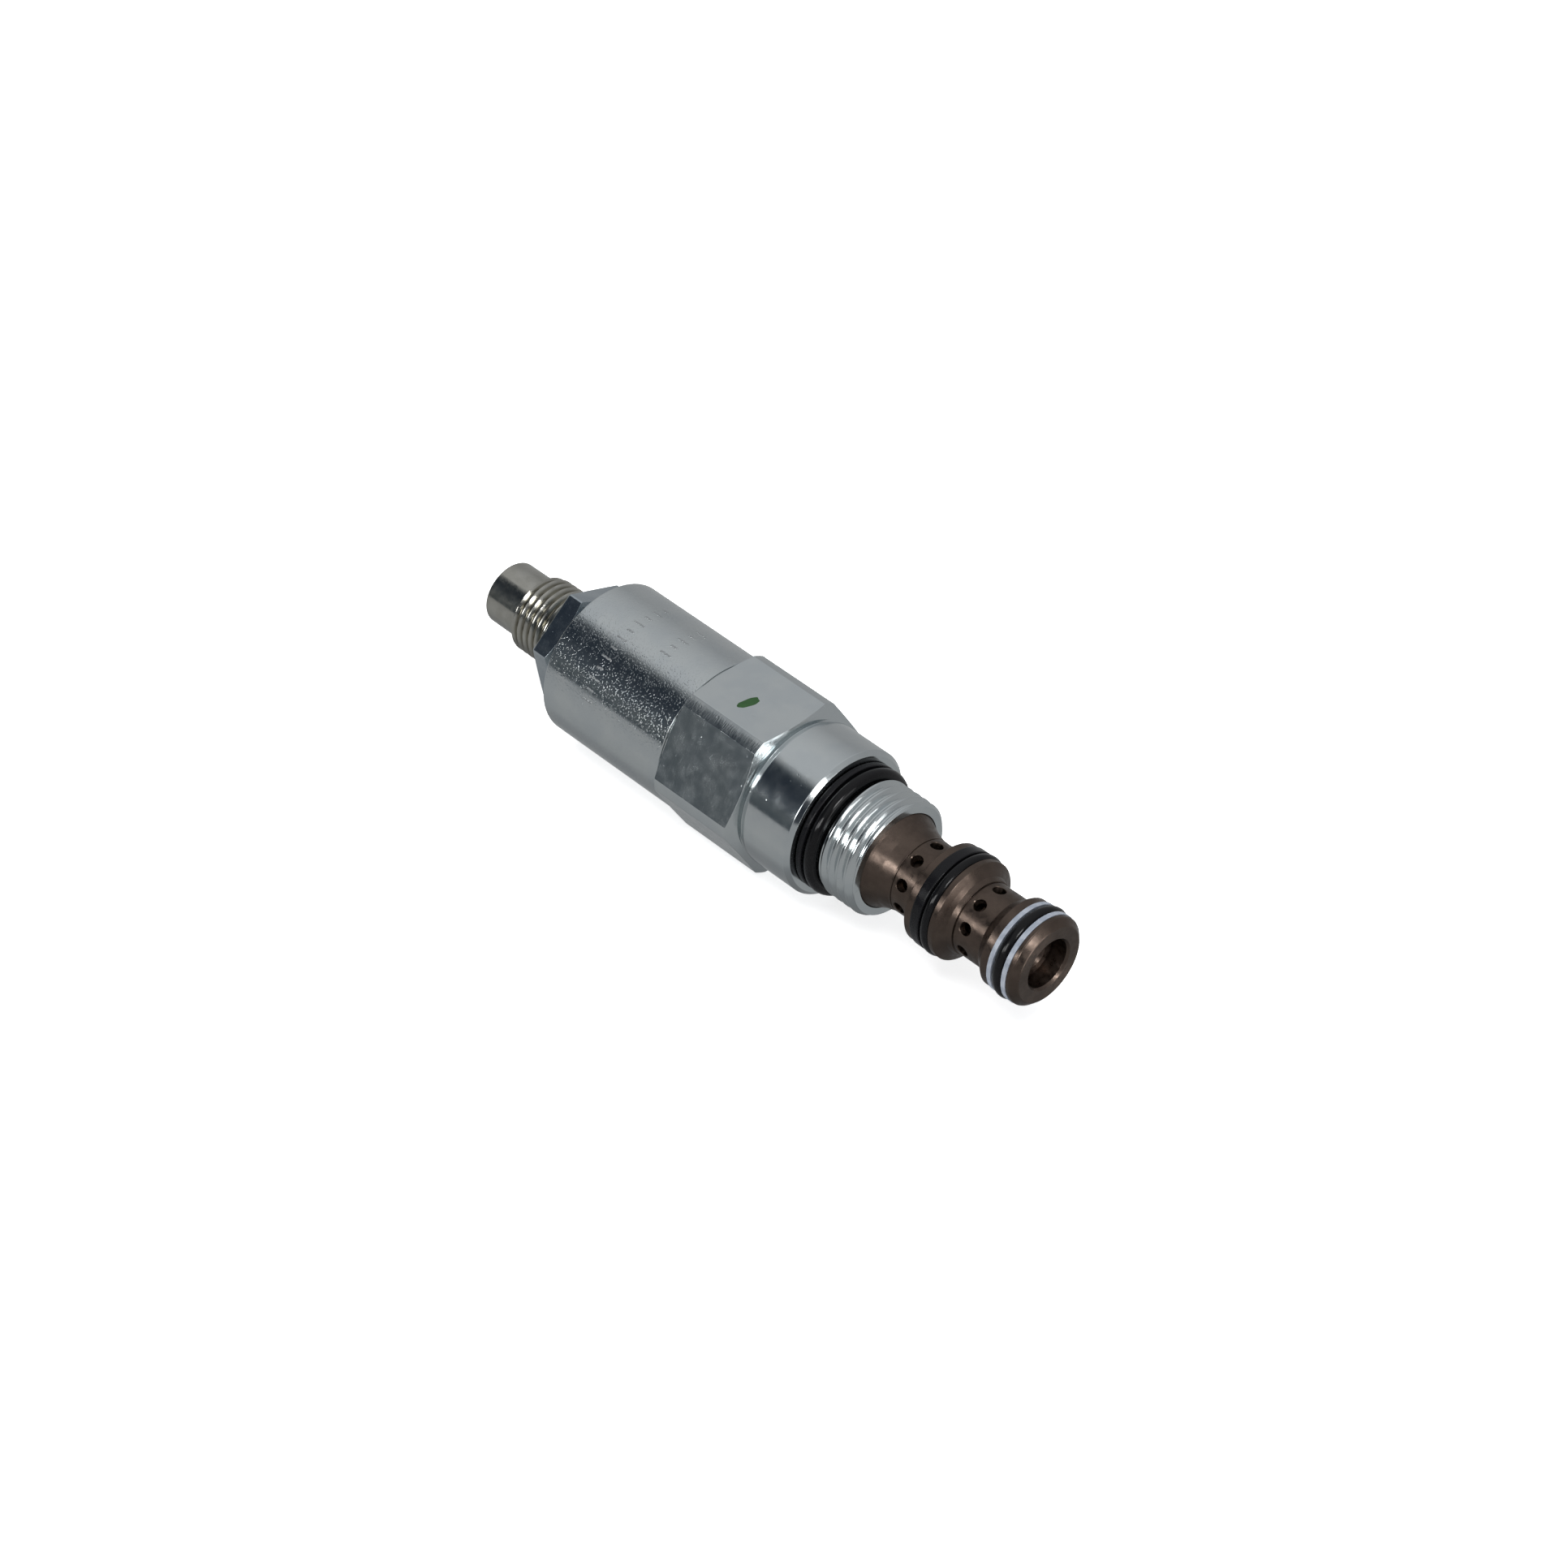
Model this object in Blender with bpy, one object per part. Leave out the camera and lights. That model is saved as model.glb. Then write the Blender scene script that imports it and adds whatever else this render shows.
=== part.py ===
# Screw-in hydraulic cartridge valve: a direct-acting pressure reducing and relieving
# spool valve with three ports, a 3/4-16 cavity thread and an outside adjusting screw.
# It lies on one flat of its hexagon. The axis runs along X, with the nose at +X.
# Sizes are in millimetres and are turned into metres when the meshes are made.

import math

import bmesh
import bpy
from mathutils import Matrix, Vector

MM = 0.001

# ---- Clearances ----
rest_gap = 0.3          # between two pieces that rest on each other
running_gap = 0.12      # radial, between pieces that turn or slide
seal_gap = 0.1          # radial, between a seal and what it seals on

# ---- Facets around the axis (multiples of 12 on hexagons, so their corners fall on a vertex) ----
body_facets = 36
cage_facets = 36
small_facets = 30
ring_facets = 30
ring_section_facets = 7
hole_facets = 8

# ---- Cage: lengths from the nose face backwards ----
nose_chamfer = 0.76
nose_front_land = 0.89
nose_back_land = 0.45
nose_back_cone = 1.7
neck_two_length = 5.77
mid_front_fillet = 0.93
mid_front_cone = 0.93
mid_front_land = 1.07
mid_back_land = 0.21
mid_back_cone = 0.75
neck_one_length = 4.8
root_small_cone = 2.3
root_large_cone = 2.1
flange_length = 3.0     # of the cage, sunk in the end of the body
shank_length = 22.0     # of the cage, inside the body

# ---- Cage: radii ----
nose_face_radius = 6.2
nose_land_radius = 7.16
neck_two_radius = 5.8
mid_land_radius = 7.99
mid_fillet_radius = 6.25
neck_one_radius = 6.03
root_mid_radius = 6.65
flange_radius = 7.66
shank_radius = 6.4
spool_bore_radius = 3.95
nose_mouth_chamfer = 0.32
port_relief_depth = 0.6     # rings cut in the spool bore behind each row of holes
port_relief_width = 3.0

# ---- Cage: cross holes ----
hole_count = 9
hole_radius = 0.96
hole_first_angle = 23.9     # degrees from straight up towards the front (-Y)
row_one_from_neck = 3.35    # from the front end of neck one to the hole centres
row_two_from_neck = 4.05

# ---- Seals on the cage ----
nose_ring_width = 0.74      # white backup rings
nose_seal_width = 1.72
nose_seal_radius = 7.43
nose_ring_radius = 7.22
mid_ring_width = 1.68       # black backup ring
mid_seal_width = 1.57
mid_seal_radius = 8.25
mid_ring_radius = 8.12
seal_side_gap = 0.05
shank_seal_width = 1.3          # inside the body, between cage and body
shank_seal_side_gap = 0.2
shank_seal_from_flange = 9.0

# ---- Valve body ----
thread_radius = 9.5
thread_chamfer = 0.5
thread_length = 6.8
seal_groove_length = 3.3
seal_groove_radius = 8.2
port_seal_radius = 10.4
port_seal_width = 2.0
port_ring_width = 0.8
collar_radius = 11.92
collar_length = 9.05
collar_chamfer = 0.56
collar_groove_width = 0.95
collar_groove_depth = 0.4
hexagon_flats = 25.3
hexagon_corner_radius = 14.03
hexagon_length = 14.87
hexagon_front_chamfer = 0.7     # axial
hexagon_back_chamfer = 0.47
body_step = 0.34            # behind the hexagon, where the housing seats
body_edge = 0.25
flat_margin = 0.15          # radial, from the flats down to the turned ends of the hexagon
spigot_depth = 9.0          # of the housing's spigot in the body
spigot_radius = 9.1

# ---- Spring housing ----
housing_radius = 12.6
housing_length = 24.4
housing_chamfer = 0.42
boss_radius = 8.3
boss_length = 2.32
housing_thread_depth = 5.85     # from the boss face to the shoulder of the spring chamber
chamber_radius = 7.2
housing_seal_width = 1.3
housing_seal_side_gap = 0.2

# ---- Jam nut ----
nut_flats = 17.46
nut_thickness = 3.22
nut_front_chamfer = 0.9
nut_back_chamfer = 0.3

# ---- Adjusting screw ----
screw_thread_radius = 6.32
screw_thread_outside = 8.0      # thread showing behind the nut
screw_thread_chamfer = 0.9
screw_tip_radius = 5.2
screw_tip_length = 7.3
screw_tip_round = 0.35
screw_head_length = 5.6
screw_back_travel = 1.6         # room behind the head, in the spring chamber
screw_seal_width = 1.5
screw_ring_width = 0.8
screw_seal_depth = 1.35
socket_flats = 5.0
socket_depth = 6.0

# ---- Spool and springs ----
spool_recess = 2.9              # from the nose face to the spool's end at rest
spool_bore = 1.95
spool_bore_depth = 16.0
spool_groove_radius = 3.1
spool_lap = 1.0                 # of the groove, over the front row and short of the back row
spool_clearance = 0.06          # radial, in the cage
spool_chamfer = 0.3
spool_hole_count = 4
spool_hole_radius = 0.85
seat_thickness = 1.6
seat_clearance = 0.6            # radial, in the spring chamber
seat_spigot_radius = 4.1
seat_spigot_length = 2.6
shim_thickness = 0.5
wire_radius = 0.95
spring_turns = 5.0
spring_steps_per_turn = 12
wire_facets = 6

# ---- Stations along the axis, nose face at 0, negative towards the adjuster ----
nose_groove_front = -nose_chamfer - nose_front_land
nose_groove_length = 2 * nose_ring_width + nose_seal_width + 4 * seal_side_gap
nose_groove_back = nose_groove_front - nose_groove_length
nose_land_back = nose_groove_back - nose_back_land
neck_two_front = nose_land_back - nose_back_cone
neck_two_back = neck_two_front - neck_two_length
mid_fillet_back = neck_two_back - mid_front_fillet
mid_land_front = mid_fillet_back - mid_front_cone
mid_groove_front = mid_land_front - mid_front_land
mid_groove_length = mid_ring_width + mid_seal_width + 3 * seal_side_gap
mid_groove_back = mid_groove_front - mid_groove_length
mid_land_back = mid_groove_back - mid_back_land
neck_one_front = mid_land_back - mid_back_cone
neck_one_back = neck_one_front - neck_one_length
root_mid = neck_one_back - root_small_cone
body_front = root_mid - root_large_cone
flange_back = body_front - flange_length
cage_back = flange_back - shank_length
row_one_station = neck_one_front - row_one_from_neck
row_two_station = neck_two_front - row_two_from_neck

thread_back = body_front - thread_chamfer - thread_length
collar_front = thread_back - seal_groove_length
collar_back = collar_front - collar_length
hexagon_face = collar_back - collar_groove_width
hexagon_front = hexagon_face - hexagon_front_chamfer
hexagon_back = hexagon_front - hexagon_length
body_edge_back = hexagon_back - hexagon_back_chamfer
body_back = body_edge_back - body_step
spigot_floor = body_back + spigot_depth

housing_front = body_back - rest_gap
housing_back = housing_front - housing_length
boss_back = housing_back - boss_length
chamber_back = boss_back + housing_thread_depth
nut_front = boss_back - rest_gap
nut_back = nut_front - nut_thickness
screw_thread_back = nut_back - screw_thread_outside
tip_front = screw_thread_back - screw_thread_chamfer
tip_back = tip_front - screw_tip_length
head_back = chamber_back + screw_back_travel
head_front = head_back + screw_head_length

spool_front = -spool_recess
lower_seat_front = cage_back - rest_gap
lower_seat_back = lower_seat_front - seat_thickness
spool_back = lower_seat_front + rest_gap
upper_seat_back = head_front + rest_gap
upper_seat_front = upper_seat_back + seat_thickness
shim_back = upper_seat_front + rest_gap
shim_front = shim_back + shim_thickness
spring_back = shim_front + rest_gap
spring_front = lower_seat_back - rest_gap

# ---- Frame: origin under the middle of the valve, on the surface that it lies on ----
axis_height = hexagon_flats / 2
middle_station = tip_back / 2


def clear_scene():
    for old in list(bpy.data.objects):
        bpy.data.objects.remove(old, do_unlink=True)


def make_material(name, colour, roughness, metallic):
    material = bpy.data.materials.new(name)
    material.use_nodes = True
    shader = material.node_tree.nodes["Principled BSDF"]
    shader.inputs["Base Color"].default_value = (*colour, 1.0)
    shader.inputs["Roughness"].default_value = roughness
    shader.inputs["Metallic"].default_value = metallic
    return material


def add_piece(name, mesh, station, material, frame):
    # The object's origin lies on the valve's axis at the given station.
    mesh.materials.append(material)
    mesh.shade_smooth()
    mesh.set_sharp_from_angle(angle=math.radians(30))
    piece = bpy.data.objects.new(name, mesh)
    bpy.context.scene.collection.objects.link(piece)
    piece.parent = frame
    piece.location = ((station - middle_station) * MM, 0, 0)
    return piece


def mesh_from(name, bm):
    bmesh.ops.recalc_face_normals(bm, faces=bm.faces)
    mesh = bpy.data.meshes.new(name)
    bm.to_mesh(mesh)
    bm.free()
    return mesh


def turned_mesh(name, outline, station, facets):
    # Spins a closed outline of (station, radius) points about the axis.
    bm = bmesh.new()
    corners = [bm.verts.new(((s - station) * MM, 0, r * MM)) for s, r in outline]
    edges = [bm.edges.new((a, b)) for a, b in zip(corners, corners[1:] + corners[:1])]
    bmesh.ops.spin(bm, geom=corners + edges, cent=(0, 0, 0), axis=(1, 0, 0),
                   angle=2 * math.pi, steps=facets, use_merge=True, use_duplicate=False)
    bmesh.ops.remove_doubles(bm, verts=bm.verts, dist=0.000001)
    return mesh_from(name, bm)


def turned(name, outline, station, facets, material, frame):
    return add_piece(name, turned_mesh(name, outline, station, facets), station, material, frame)


def round_ring(name, front, width, outer_radius, material, frame):
    # An O-ring whose section is an ellipse of the given width, touching the outer radius.
    station = front - width / 2
    half = width / 2
    outline = []
    for step in range(ring_section_facets):
        turn = 2 * math.pi * step / ring_section_facets
        outline.append((station + half * math.cos(turn), outer_radius - half + half * math.sin(turn)))
    return turned(name, outline, station, ring_facets, material, frame)


def flat_ring(name, front, width, inner_radius, outer_radius, material, frame):
    station = front - width / 2
    back = front - width
    outline = [(back, inner_radius), (back, outer_radius), (front, outer_radius), (front, inner_radius)]
    return turned(name, outline, station, ring_facets, material, frame)


def radial(angle):
    # Unit vector at an angle in degrees from straight up towards the front.
    turn = math.radians(angle)
    return Vector((0, -math.sin(turn), math.cos(turn)))


def hexagon_corners(flats, first_corner):
    reach = flats / 2 / math.cos(math.radians(30)) * MM
    return [radial(first_corner + 60 * k) * reach for k in range(6)]


def add_cutter(name, mesh, frame, station):
    cutter = bpy.data.objects.new(name, mesh)
    bpy.context.scene.collection.objects.link(cutter)
    cutter.parent = frame
    cutter.location = ((station - middle_station) * MM, 0, 0)
    cutter.hide_render = True
    cutter.display_type = "WIRE"
    return cutter


def cut(piece, cutter):
    boolean = piece.modifiers.new(cutter.name, "BOOLEAN")
    boolean.operation = "DIFFERENCE"
    boolean.solver = "EXACT"
    boolean.object = cutter


def hexagon_sleeve(name, back, front, flats, first_corner, frame):
    # A round block with a hexagonal hole. Cutting it away leaves the six flats.
    half = (front - back) / 2 * MM
    station = (front + back) / 2
    inner = hexagon_corners(flats, first_corner)
    outer = [corner * 2 for corner in inner]
    bm = bmesh.new()
    rings = []
    for points, x in ((inner, -half), (inner, half), (outer, half), (outer, -half)):
        rings.append([bm.verts.new((x, p.y, p.z)) for p in points])
    for near, far in zip(rings, rings[1:] + rings[:1]):
        for k in range(6):
            n = (k + 1) % 6
            bm.faces.new((near[k], near[n], far[n], far[k]))
    return add_cutter(name, mesh_from(name, bm), frame, station)


def hexagon_bar(name, back, front, flats, first_corner, frame):
    half = (front - back) / 2 * MM
    station = (front + back) / 2
    corners = hexagon_corners(flats, first_corner)
    bm = bmesh.new()
    base = bm.faces.new([bm.verts.new((-half, p.y, p.z)) for p in corners])
    grown = bmesh.ops.extrude_face_region(bm, geom=[base])
    top = [v for v in grown["geom"] if isinstance(v, bmesh.types.BMVert)]
    bmesh.ops.translate(bm, verts=top, vec=(2 * half, 0, 0))
    return add_cutter(name, mesh_from(name, bm), frame, station)


def hole_row(name, station, count, radius, inner_radius, outer_radius, frame):
    # Drills around the axis, reaching from the inner to the outer radius.
    middle = (inner_radius + outer_radius) / 2 * MM
    bm = bmesh.new()
    for k in range(count):
        direction = radial(hole_first_angle + 360 / count * k)
        turn = Vector((0, 0, 1)).rotation_difference(direction).to_matrix().to_4x4()
        place = Matrix.Translation(direction * middle) @ turn
        bmesh.ops.create_cone(bm, cap_ends=True, segments=hole_facets, radius1=radius * MM,
                              radius2=radius * MM, depth=(outer_radius - inner_radius) * MM,
                              matrix=place)
    return add_cutter(name, mesh_from(name, bm), frame, station)


def make_valve_body(material, frame):
    end_radius = hexagon_flats / 2 - flat_margin
    outer = [
        (body_back, end_radius - body_edge),
        (body_back + body_edge, end_radius),
        (body_edge_back, end_radius),
        (hexagon_back, hexagon_corner_radius),
        (hexagon_front, hexagon_corner_radius),
        (hexagon_face, end_radius),
        (hexagon_face, collar_radius - collar_groove_depth),
        (collar_back - 0.2, collar_radius - collar_groove_depth),
        (collar_back, collar_radius),
        (collar_front - collar_chamfer, collar_radius),
        (collar_front, collar_radius - collar_chamfer),
        (collar_front, seal_groove_radius),
        (thread_back, seal_groove_radius),
        (thread_back, thread_radius - 0.3),
        (thread_back + 0.3, thread_radius),
        (body_front - thread_chamfer, thread_radius),
        (body_front, thread_radius - thread_chamfer),
    ]
    inner = [
        (body_front, flange_radius + seal_gap),
        (flange_back - rest_gap, flange_radius + seal_gap),
        (flange_back - rest_gap, shank_radius + running_gap),
        (cage_back, shank_radius + running_gap),
        (cage_back, chamber_radius),
        (spigot_floor, chamber_radius),
        (spigot_floor, spigot_radius + running_gap),
        (body_back, spigot_radius + running_gap),
    ]
    station = (body_front + body_back) / 2
    body = turned("valve_body", outer + inner, station, body_facets, material, frame)
    sleeve = hexagon_sleeve("hexagon_cutter", body_edge_back - 0.2, hexagon_face + 0.2,
                            hexagon_flats, 30, frame)
    cut(body, sleeve)


def make_spring_housing(material, frame):
    # Spigot with a seal groove near its tip, then the barrel, then the boss.
    groove_front = housing_front + spigot_depth - 2.6
    groove_back = groove_front - housing_seal_width - 2 * housing_seal_side_gap
    groove_radius = spigot_radius - housing_seal_width - seal_gap
    outline = [
        (boss_back, boss_radius - 0.4),
        (boss_back + 0.4, boss_radius),
        (housing_back, boss_radius),
        (housing_back, housing_radius - housing_chamfer),
        (housing_back + housing_chamfer, housing_radius),
        (housing_front - 0.25, housing_radius),
        (housing_front, housing_radius - 0.25),
        (housing_front, spigot_radius),
        (groove_back, spigot_radius),
        (groove_back, groove_radius),
        (groove_front, groove_radius),
        (groove_front, spigot_radius),
        (housing_front + spigot_depth - 0.4, spigot_radius),
        (housing_front + spigot_depth, spigot_radius - 0.4),
        (housing_front + spigot_depth, chamber_radius),
        (chamber_back, chamber_radius),
        (chamber_back, screw_thread_radius + running_gap),
        (boss_back, screw_thread_radius + running_gap),
    ]
    station = (housing_front + housing_back) / 2
    turned("spring_housing", outline, station, body_facets, material, frame)
    return groove_front - housing_seal_side_gap


def make_cage(material, frame):
    nose_groove_radius = nose_seal_radius - nose_seal_width - seal_gap
    mid_groove_radius = mid_seal_radius - mid_seal_width - seal_gap
    shank_groove_front = flange_back - shank_seal_from_flange
    shank_groove_back = shank_groove_front - shank_seal_width - 2 * shank_seal_side_gap
    shank_groove_radius = shank_radius - shank_seal_width - seal_gap
    outer = [
        (cage_back, shank_radius - 0.5),
        (cage_back + 0.5, shank_radius),
        (shank_groove_back, shank_radius),
        (shank_groove_back, shank_groove_radius),
        (shank_groove_front, shank_groove_radius),
        (shank_groove_front, shank_radius),
        (flange_back, shank_radius),
        (flange_back, flange_radius),
        (body_front, flange_radius),
        (root_mid, root_mid_radius),
        (neck_one_back, neck_one_radius),
        (neck_one_front, neck_one_radius),
        (mid_land_back, mid_land_radius),
        (mid_groove_back, mid_land_radius),
        (mid_groove_back, mid_groove_radius),
        (mid_groove_front, mid_groove_radius),
        (mid_groove_front, mid_land_radius),
        (mid_land_front, mid_land_radius),
        (mid_fillet_back, mid_fillet_radius),
        (neck_two_back, neck_two_radius),
        (neck_two_front, neck_two_radius),
        (nose_land_back, nose_land_radius),
        (nose_groove_back, nose_land_radius),
        (nose_groove_back, nose_groove_radius),
        (nose_groove_front, nose_groove_radius),
        (nose_groove_front, nose_land_radius),
        (-nose_chamfer, nose_land_radius),
        (0, nose_face_radius),
        (0, spool_bore_radius + nose_mouth_chamfer),
        (-nose_mouth_chamfer, spool_bore_radius),
    ]
    relief = []
    for row in (row_two_station, row_one_station):
        near = row + port_relief_width / 2
        far = row - port_relief_width / 2
        relief += [(near, spool_bore_radius), (near, spool_bore_radius + port_relief_depth),
                   (far, spool_bore_radius + port_relief_depth), (far, spool_bore_radius)]
    outline = outer + relief + [(cage_back, spool_bore_radius)]
    station = body_front
    cage = turned("cage", outline, station, cage_facets, material, frame)
    rows = (("back_row_drills", row_one_station, neck_one_radius),
            ("front_row_drills", row_two_station, neck_two_radius))
    for name, row, neck_radius in rows:
        drills = hole_row(name, row, hole_count, hole_radius, spool_bore_radius - 1.0,
                          neck_radius + 1.5, frame)
        cut(cage, drills)
    return shank_groove_front - shank_seal_side_gap


def make_spool(material, frame):
    # Hollow from the nose. Its ring groove is open to the front row of holes at rest, and
    # opens to the back row when the spool is pushed back.
    radius = spool_bore_radius - spool_clearance
    groove_front = row_two_station - port_relief_width / 2 + spool_lap
    groove_back = row_one_station + port_relief_width / 2 + spool_lap
    outline = [
        (spool_front, radius - spool_chamfer),
        (spool_front, spool_bore),
        (spool_front - spool_bore_depth, spool_bore),
        (spool_front - spool_bore_depth - 1.0, 0),
        (spool_back, 0),
        (spool_back, radius - spool_chamfer),
        (spool_back + spool_chamfer, radius),
        (groove_back, radius),
        (groove_back, spool_groove_radius),
        (groove_front, spool_groove_radius),
        (groove_front, radius),
        (spool_front - spool_chamfer, radius),
    ]
    spool = turned("spool", outline, spool_front, small_facets, material, frame)
    drills = hole_row("spool_drills", (groove_front + groove_back) / 2, spool_hole_count,
                      spool_hole_radius, 0.5, spool_groove_radius + 1.0, frame)
    cut(spool, drills)


def make_spring_seats(material, frame):
    radius = chamber_radius - seat_clearance
    lower = [(lower_seat_front, 0), (lower_seat_front, radius - 0.4), (lower_seat_front - 0.4, radius),
             (lower_seat_back, radius), (lower_seat_back, seat_spigot_radius),
             (lower_seat_back - seat_spigot_length + 0.5, seat_spigot_radius),
             (lower_seat_back - seat_spigot_length, seat_spigot_radius - 0.5),
             (lower_seat_back - seat_spigot_length, 0)]
    turned("lower_spring_seat", lower, lower_seat_front, small_facets, material, frame)
    upper = [(upper_seat_back, 0), (upper_seat_back, radius - 0.4), (upper_seat_back + 0.4, radius),
             (upper_seat_front, radius), (upper_seat_front, seat_spigot_radius),
             (upper_seat_front + seat_spigot_length - 0.5, seat_spigot_radius),
             (upper_seat_front + seat_spigot_length, seat_spigot_radius - 0.5),
             (upper_seat_front + seat_spigot_length, 0)]
    turned("upper_spring_seat", upper, upper_seat_back, small_facets, material, frame)


def make_shim(material, frame):
    flat_ring("spring_shim", shim_front, shim_thickness, seat_spigot_radius + running_gap,
              chamber_radius - seat_clearance, material, frame)


def make_spring(material, frame):
    # A helix of round wire between the shim and the lower seat.
    coil_radius = (seat_spigot_radius + running_gap + 0.1 + wire_radius) * MM
    first = spring_back + wire_radius
    last = spring_front - wire_radius
    steps = int(spring_turns * spring_steps_per_turn)
    bm = bmesh.new()
    rings = []
    for step in range(steps + 1):
        turn = 2 * math.pi * step / spring_steps_per_turn
        along = (first + (last - first) * step / steps - first) * MM
        out = Vector((0, math.cos(turn), math.sin(turn)))
        ring = []
        for side in range(wire_facets):
            angle = 2 * math.pi * side / wire_facets
            reach = out * (coil_radius + wire_radius * MM * math.cos(angle))
            ring.append(bm.verts.new((along + wire_radius * MM * math.sin(angle), reach.y, reach.z)))
        rings.append(ring)
    for near, far in zip(rings, rings[1:]):
        for side in range(wire_facets):
            n = (side + 1) % wire_facets
            bm.faces.new((near[side], near[n], far[n], far[side]))
    bm.faces.new(rings[0])
    bm.faces.new(rings[-1])
    add_piece("main_spring", mesh_from("main_spring", bm), first, material, frame)


def make_adjusting_screw(material, frame):
    # Plain tip, thread, then the head that carries the seals inside the spring chamber.
    head_radius = chamber_radius - running_gap
    groove_front = head_front - 1.2
    groove_back = groove_front - screw_seal_width - screw_ring_width - 3 * seal_side_gap
    groove_radius = head_radius - screw_seal_depth
    outline = [
        (tip_back, 0),
        (tip_back, screw_tip_radius - screw_tip_round),
        (tip_back + screw_tip_round, screw_tip_radius),
        (tip_front, screw_tip_radius),
        (screw_thread_back, screw_thread_radius),
        (head_back - 1.0, screw_thread_radius),
        (head_back - 1.0, screw_thread_radius - 0.6),
        (head_back, screw_thread_radius - 0.6),
        (head_back, head_radius),
        (groove_back, head_radius),
        (groove_back, groove_radius),
        (groove_front, groove_radius),
        (groove_front, head_radius),
        (head_front - 0.3, head_radius),
        (head_front, head_radius - 0.3),
        (head_front, 0),
    ]
    screw = turned("adjusting_screw", outline, tip_front, small_facets, material, frame)
    socket = hexagon_bar("socket_cutter", tip_back - 1.0, tip_back + socket_depth, socket_flats, 30, frame)
    cut(screw, socket)
    return groove_front, groove_radius


def make_jam_nut(material, frame):
    corner = nut_flats / 2 / math.cos(math.radians(30))
    bore = screw_thread_radius + running_gap
    outline = [
        (nut_back, bore + 0.35),
        (nut_back, corner - 0.55),
        (nut_back + nut_back_chamfer, corner),
        (nut_front - nut_front_chamfer, corner),
        (nut_front, corner - 1.55),
        (nut_front, bore + 0.35),
        (nut_front - 0.35, bore),
        (nut_back + 0.35, bore),
    ]
    nut = turned("jam_nut", outline, (nut_front + nut_back) / 2, body_facets, material, frame)
    sleeve = hexagon_sleeve("nut_cutter", nut_back - 0.3, nut_front + 0.3, nut_flats, 9.4, frame)
    cut(nut, sleeve)


def build():
    clear_scene()
    frame = bpy.data.objects.new("valve_axis", None)
    bpy.context.scene.collection.objects.link(frame)
    frame.location = (0, 0, axis_height * MM)

    plated = make_material("zinc_plated_steel", (0.62, 0.65, 0.67), 0.3, 1.0)
    stainless = make_material("stainless_steel", (0.56, 0.54, 0.5), 0.28, 1.0)
    dark_steel = make_material("hardened_steel", (0.3, 0.3, 0.31), 0.35, 1.0)
    bronze = make_material("browned_cage_steel", (0.17, 0.14, 0.12), 0.35, 0.9)
    spring_steel = make_material("spring_steel", (0.25, 0.25, 0.26), 0.4, 1.0)
    rubber = make_material("black_rubber", (0.012, 0.012, 0.013), 0.3, 0.0)
    white_ring = make_material("white_ptfe", (0.72, 0.75, 0.8), 0.5, 0.0)

    make_valve_body(plated, frame)
    housing_seal_front = make_spring_housing(plated, frame)
    round_ring("housing_oring", housing_seal_front, housing_seal_width, spigot_radius, rubber, frame)
    shank_seal_front = make_cage(bronze, frame)
    round_ring("cage_oring", shank_seal_front, shank_seal_width, shank_radius, rubber, frame)

    make_spool(dark_steel, frame)
    make_spring_seats(dark_steel, frame)
    make_shim(spring_steel, frame)
    make_spring(spring_steel, frame)

    groove_front, groove_radius = make_adjusting_screw(stainless, frame)
    seal_front = groove_front - seal_side_gap
    round_ring("adjuster_oring", seal_front, screw_seal_width * 0.85, chamber_radius - seal_gap,
               rubber, frame)
    flat_ring("adjuster_backup_ring", seal_front - screw_seal_width - seal_side_gap, screw_ring_width,
              groove_radius + seal_gap, chamber_radius - seal_gap, white_ring, frame)
    make_jam_nut(plated, frame)

    ring_front = collar_front + 0.2 + port_ring_width
    flat_ring("port_backup_ring", ring_front, port_ring_width, seal_groove_radius + seal_gap,
              port_seal_radius, rubber, frame)
    round_ring("port_oring", ring_front + seal_side_gap + port_seal_width, port_seal_width,
               port_seal_radius, rubber, frame)

    seal_front = mid_groove_front - seal_side_gap
    round_ring("mid_oring", seal_front, mid_seal_width, mid_seal_radius, rubber, frame)
    flat_ring("mid_backup_ring", seal_front - mid_seal_width - seal_side_gap, mid_ring_width,
              mid_seal_radius - mid_seal_width, mid_ring_radius, rubber, frame)

    ring_front = nose_groove_front - seal_side_gap
    ring_inner = nose_seal_radius - nose_seal_width
    seal_front = ring_front - nose_ring_width - seal_side_gap
    back_ring_front = seal_front - nose_seal_width - seal_side_gap
    flat_ring("nose_front_backup_ring", ring_front, nose_ring_width, ring_inner, nose_ring_radius,
              white_ring, frame)
    round_ring("nose_oring", seal_front, nose_seal_width, nose_seal_radius, rubber, frame)
    flat_ring("nose_rear_backup_ring", back_ring_front, nose_ring_width, ring_inner, nose_ring_radius,
              white_ring, frame)


build()
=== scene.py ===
# Looks of a screw-in hydraulic cartridge valve, built around its CAD frame.
# Sizes are in millimetres. Stations run along the valve axis: the nose face is 0, and the
# adjuster is on the negative side. A turn is in degrees from straight up towards the front.

import math

import bmesh
import bpy
from mathutils import Matrix, Vector


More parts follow.
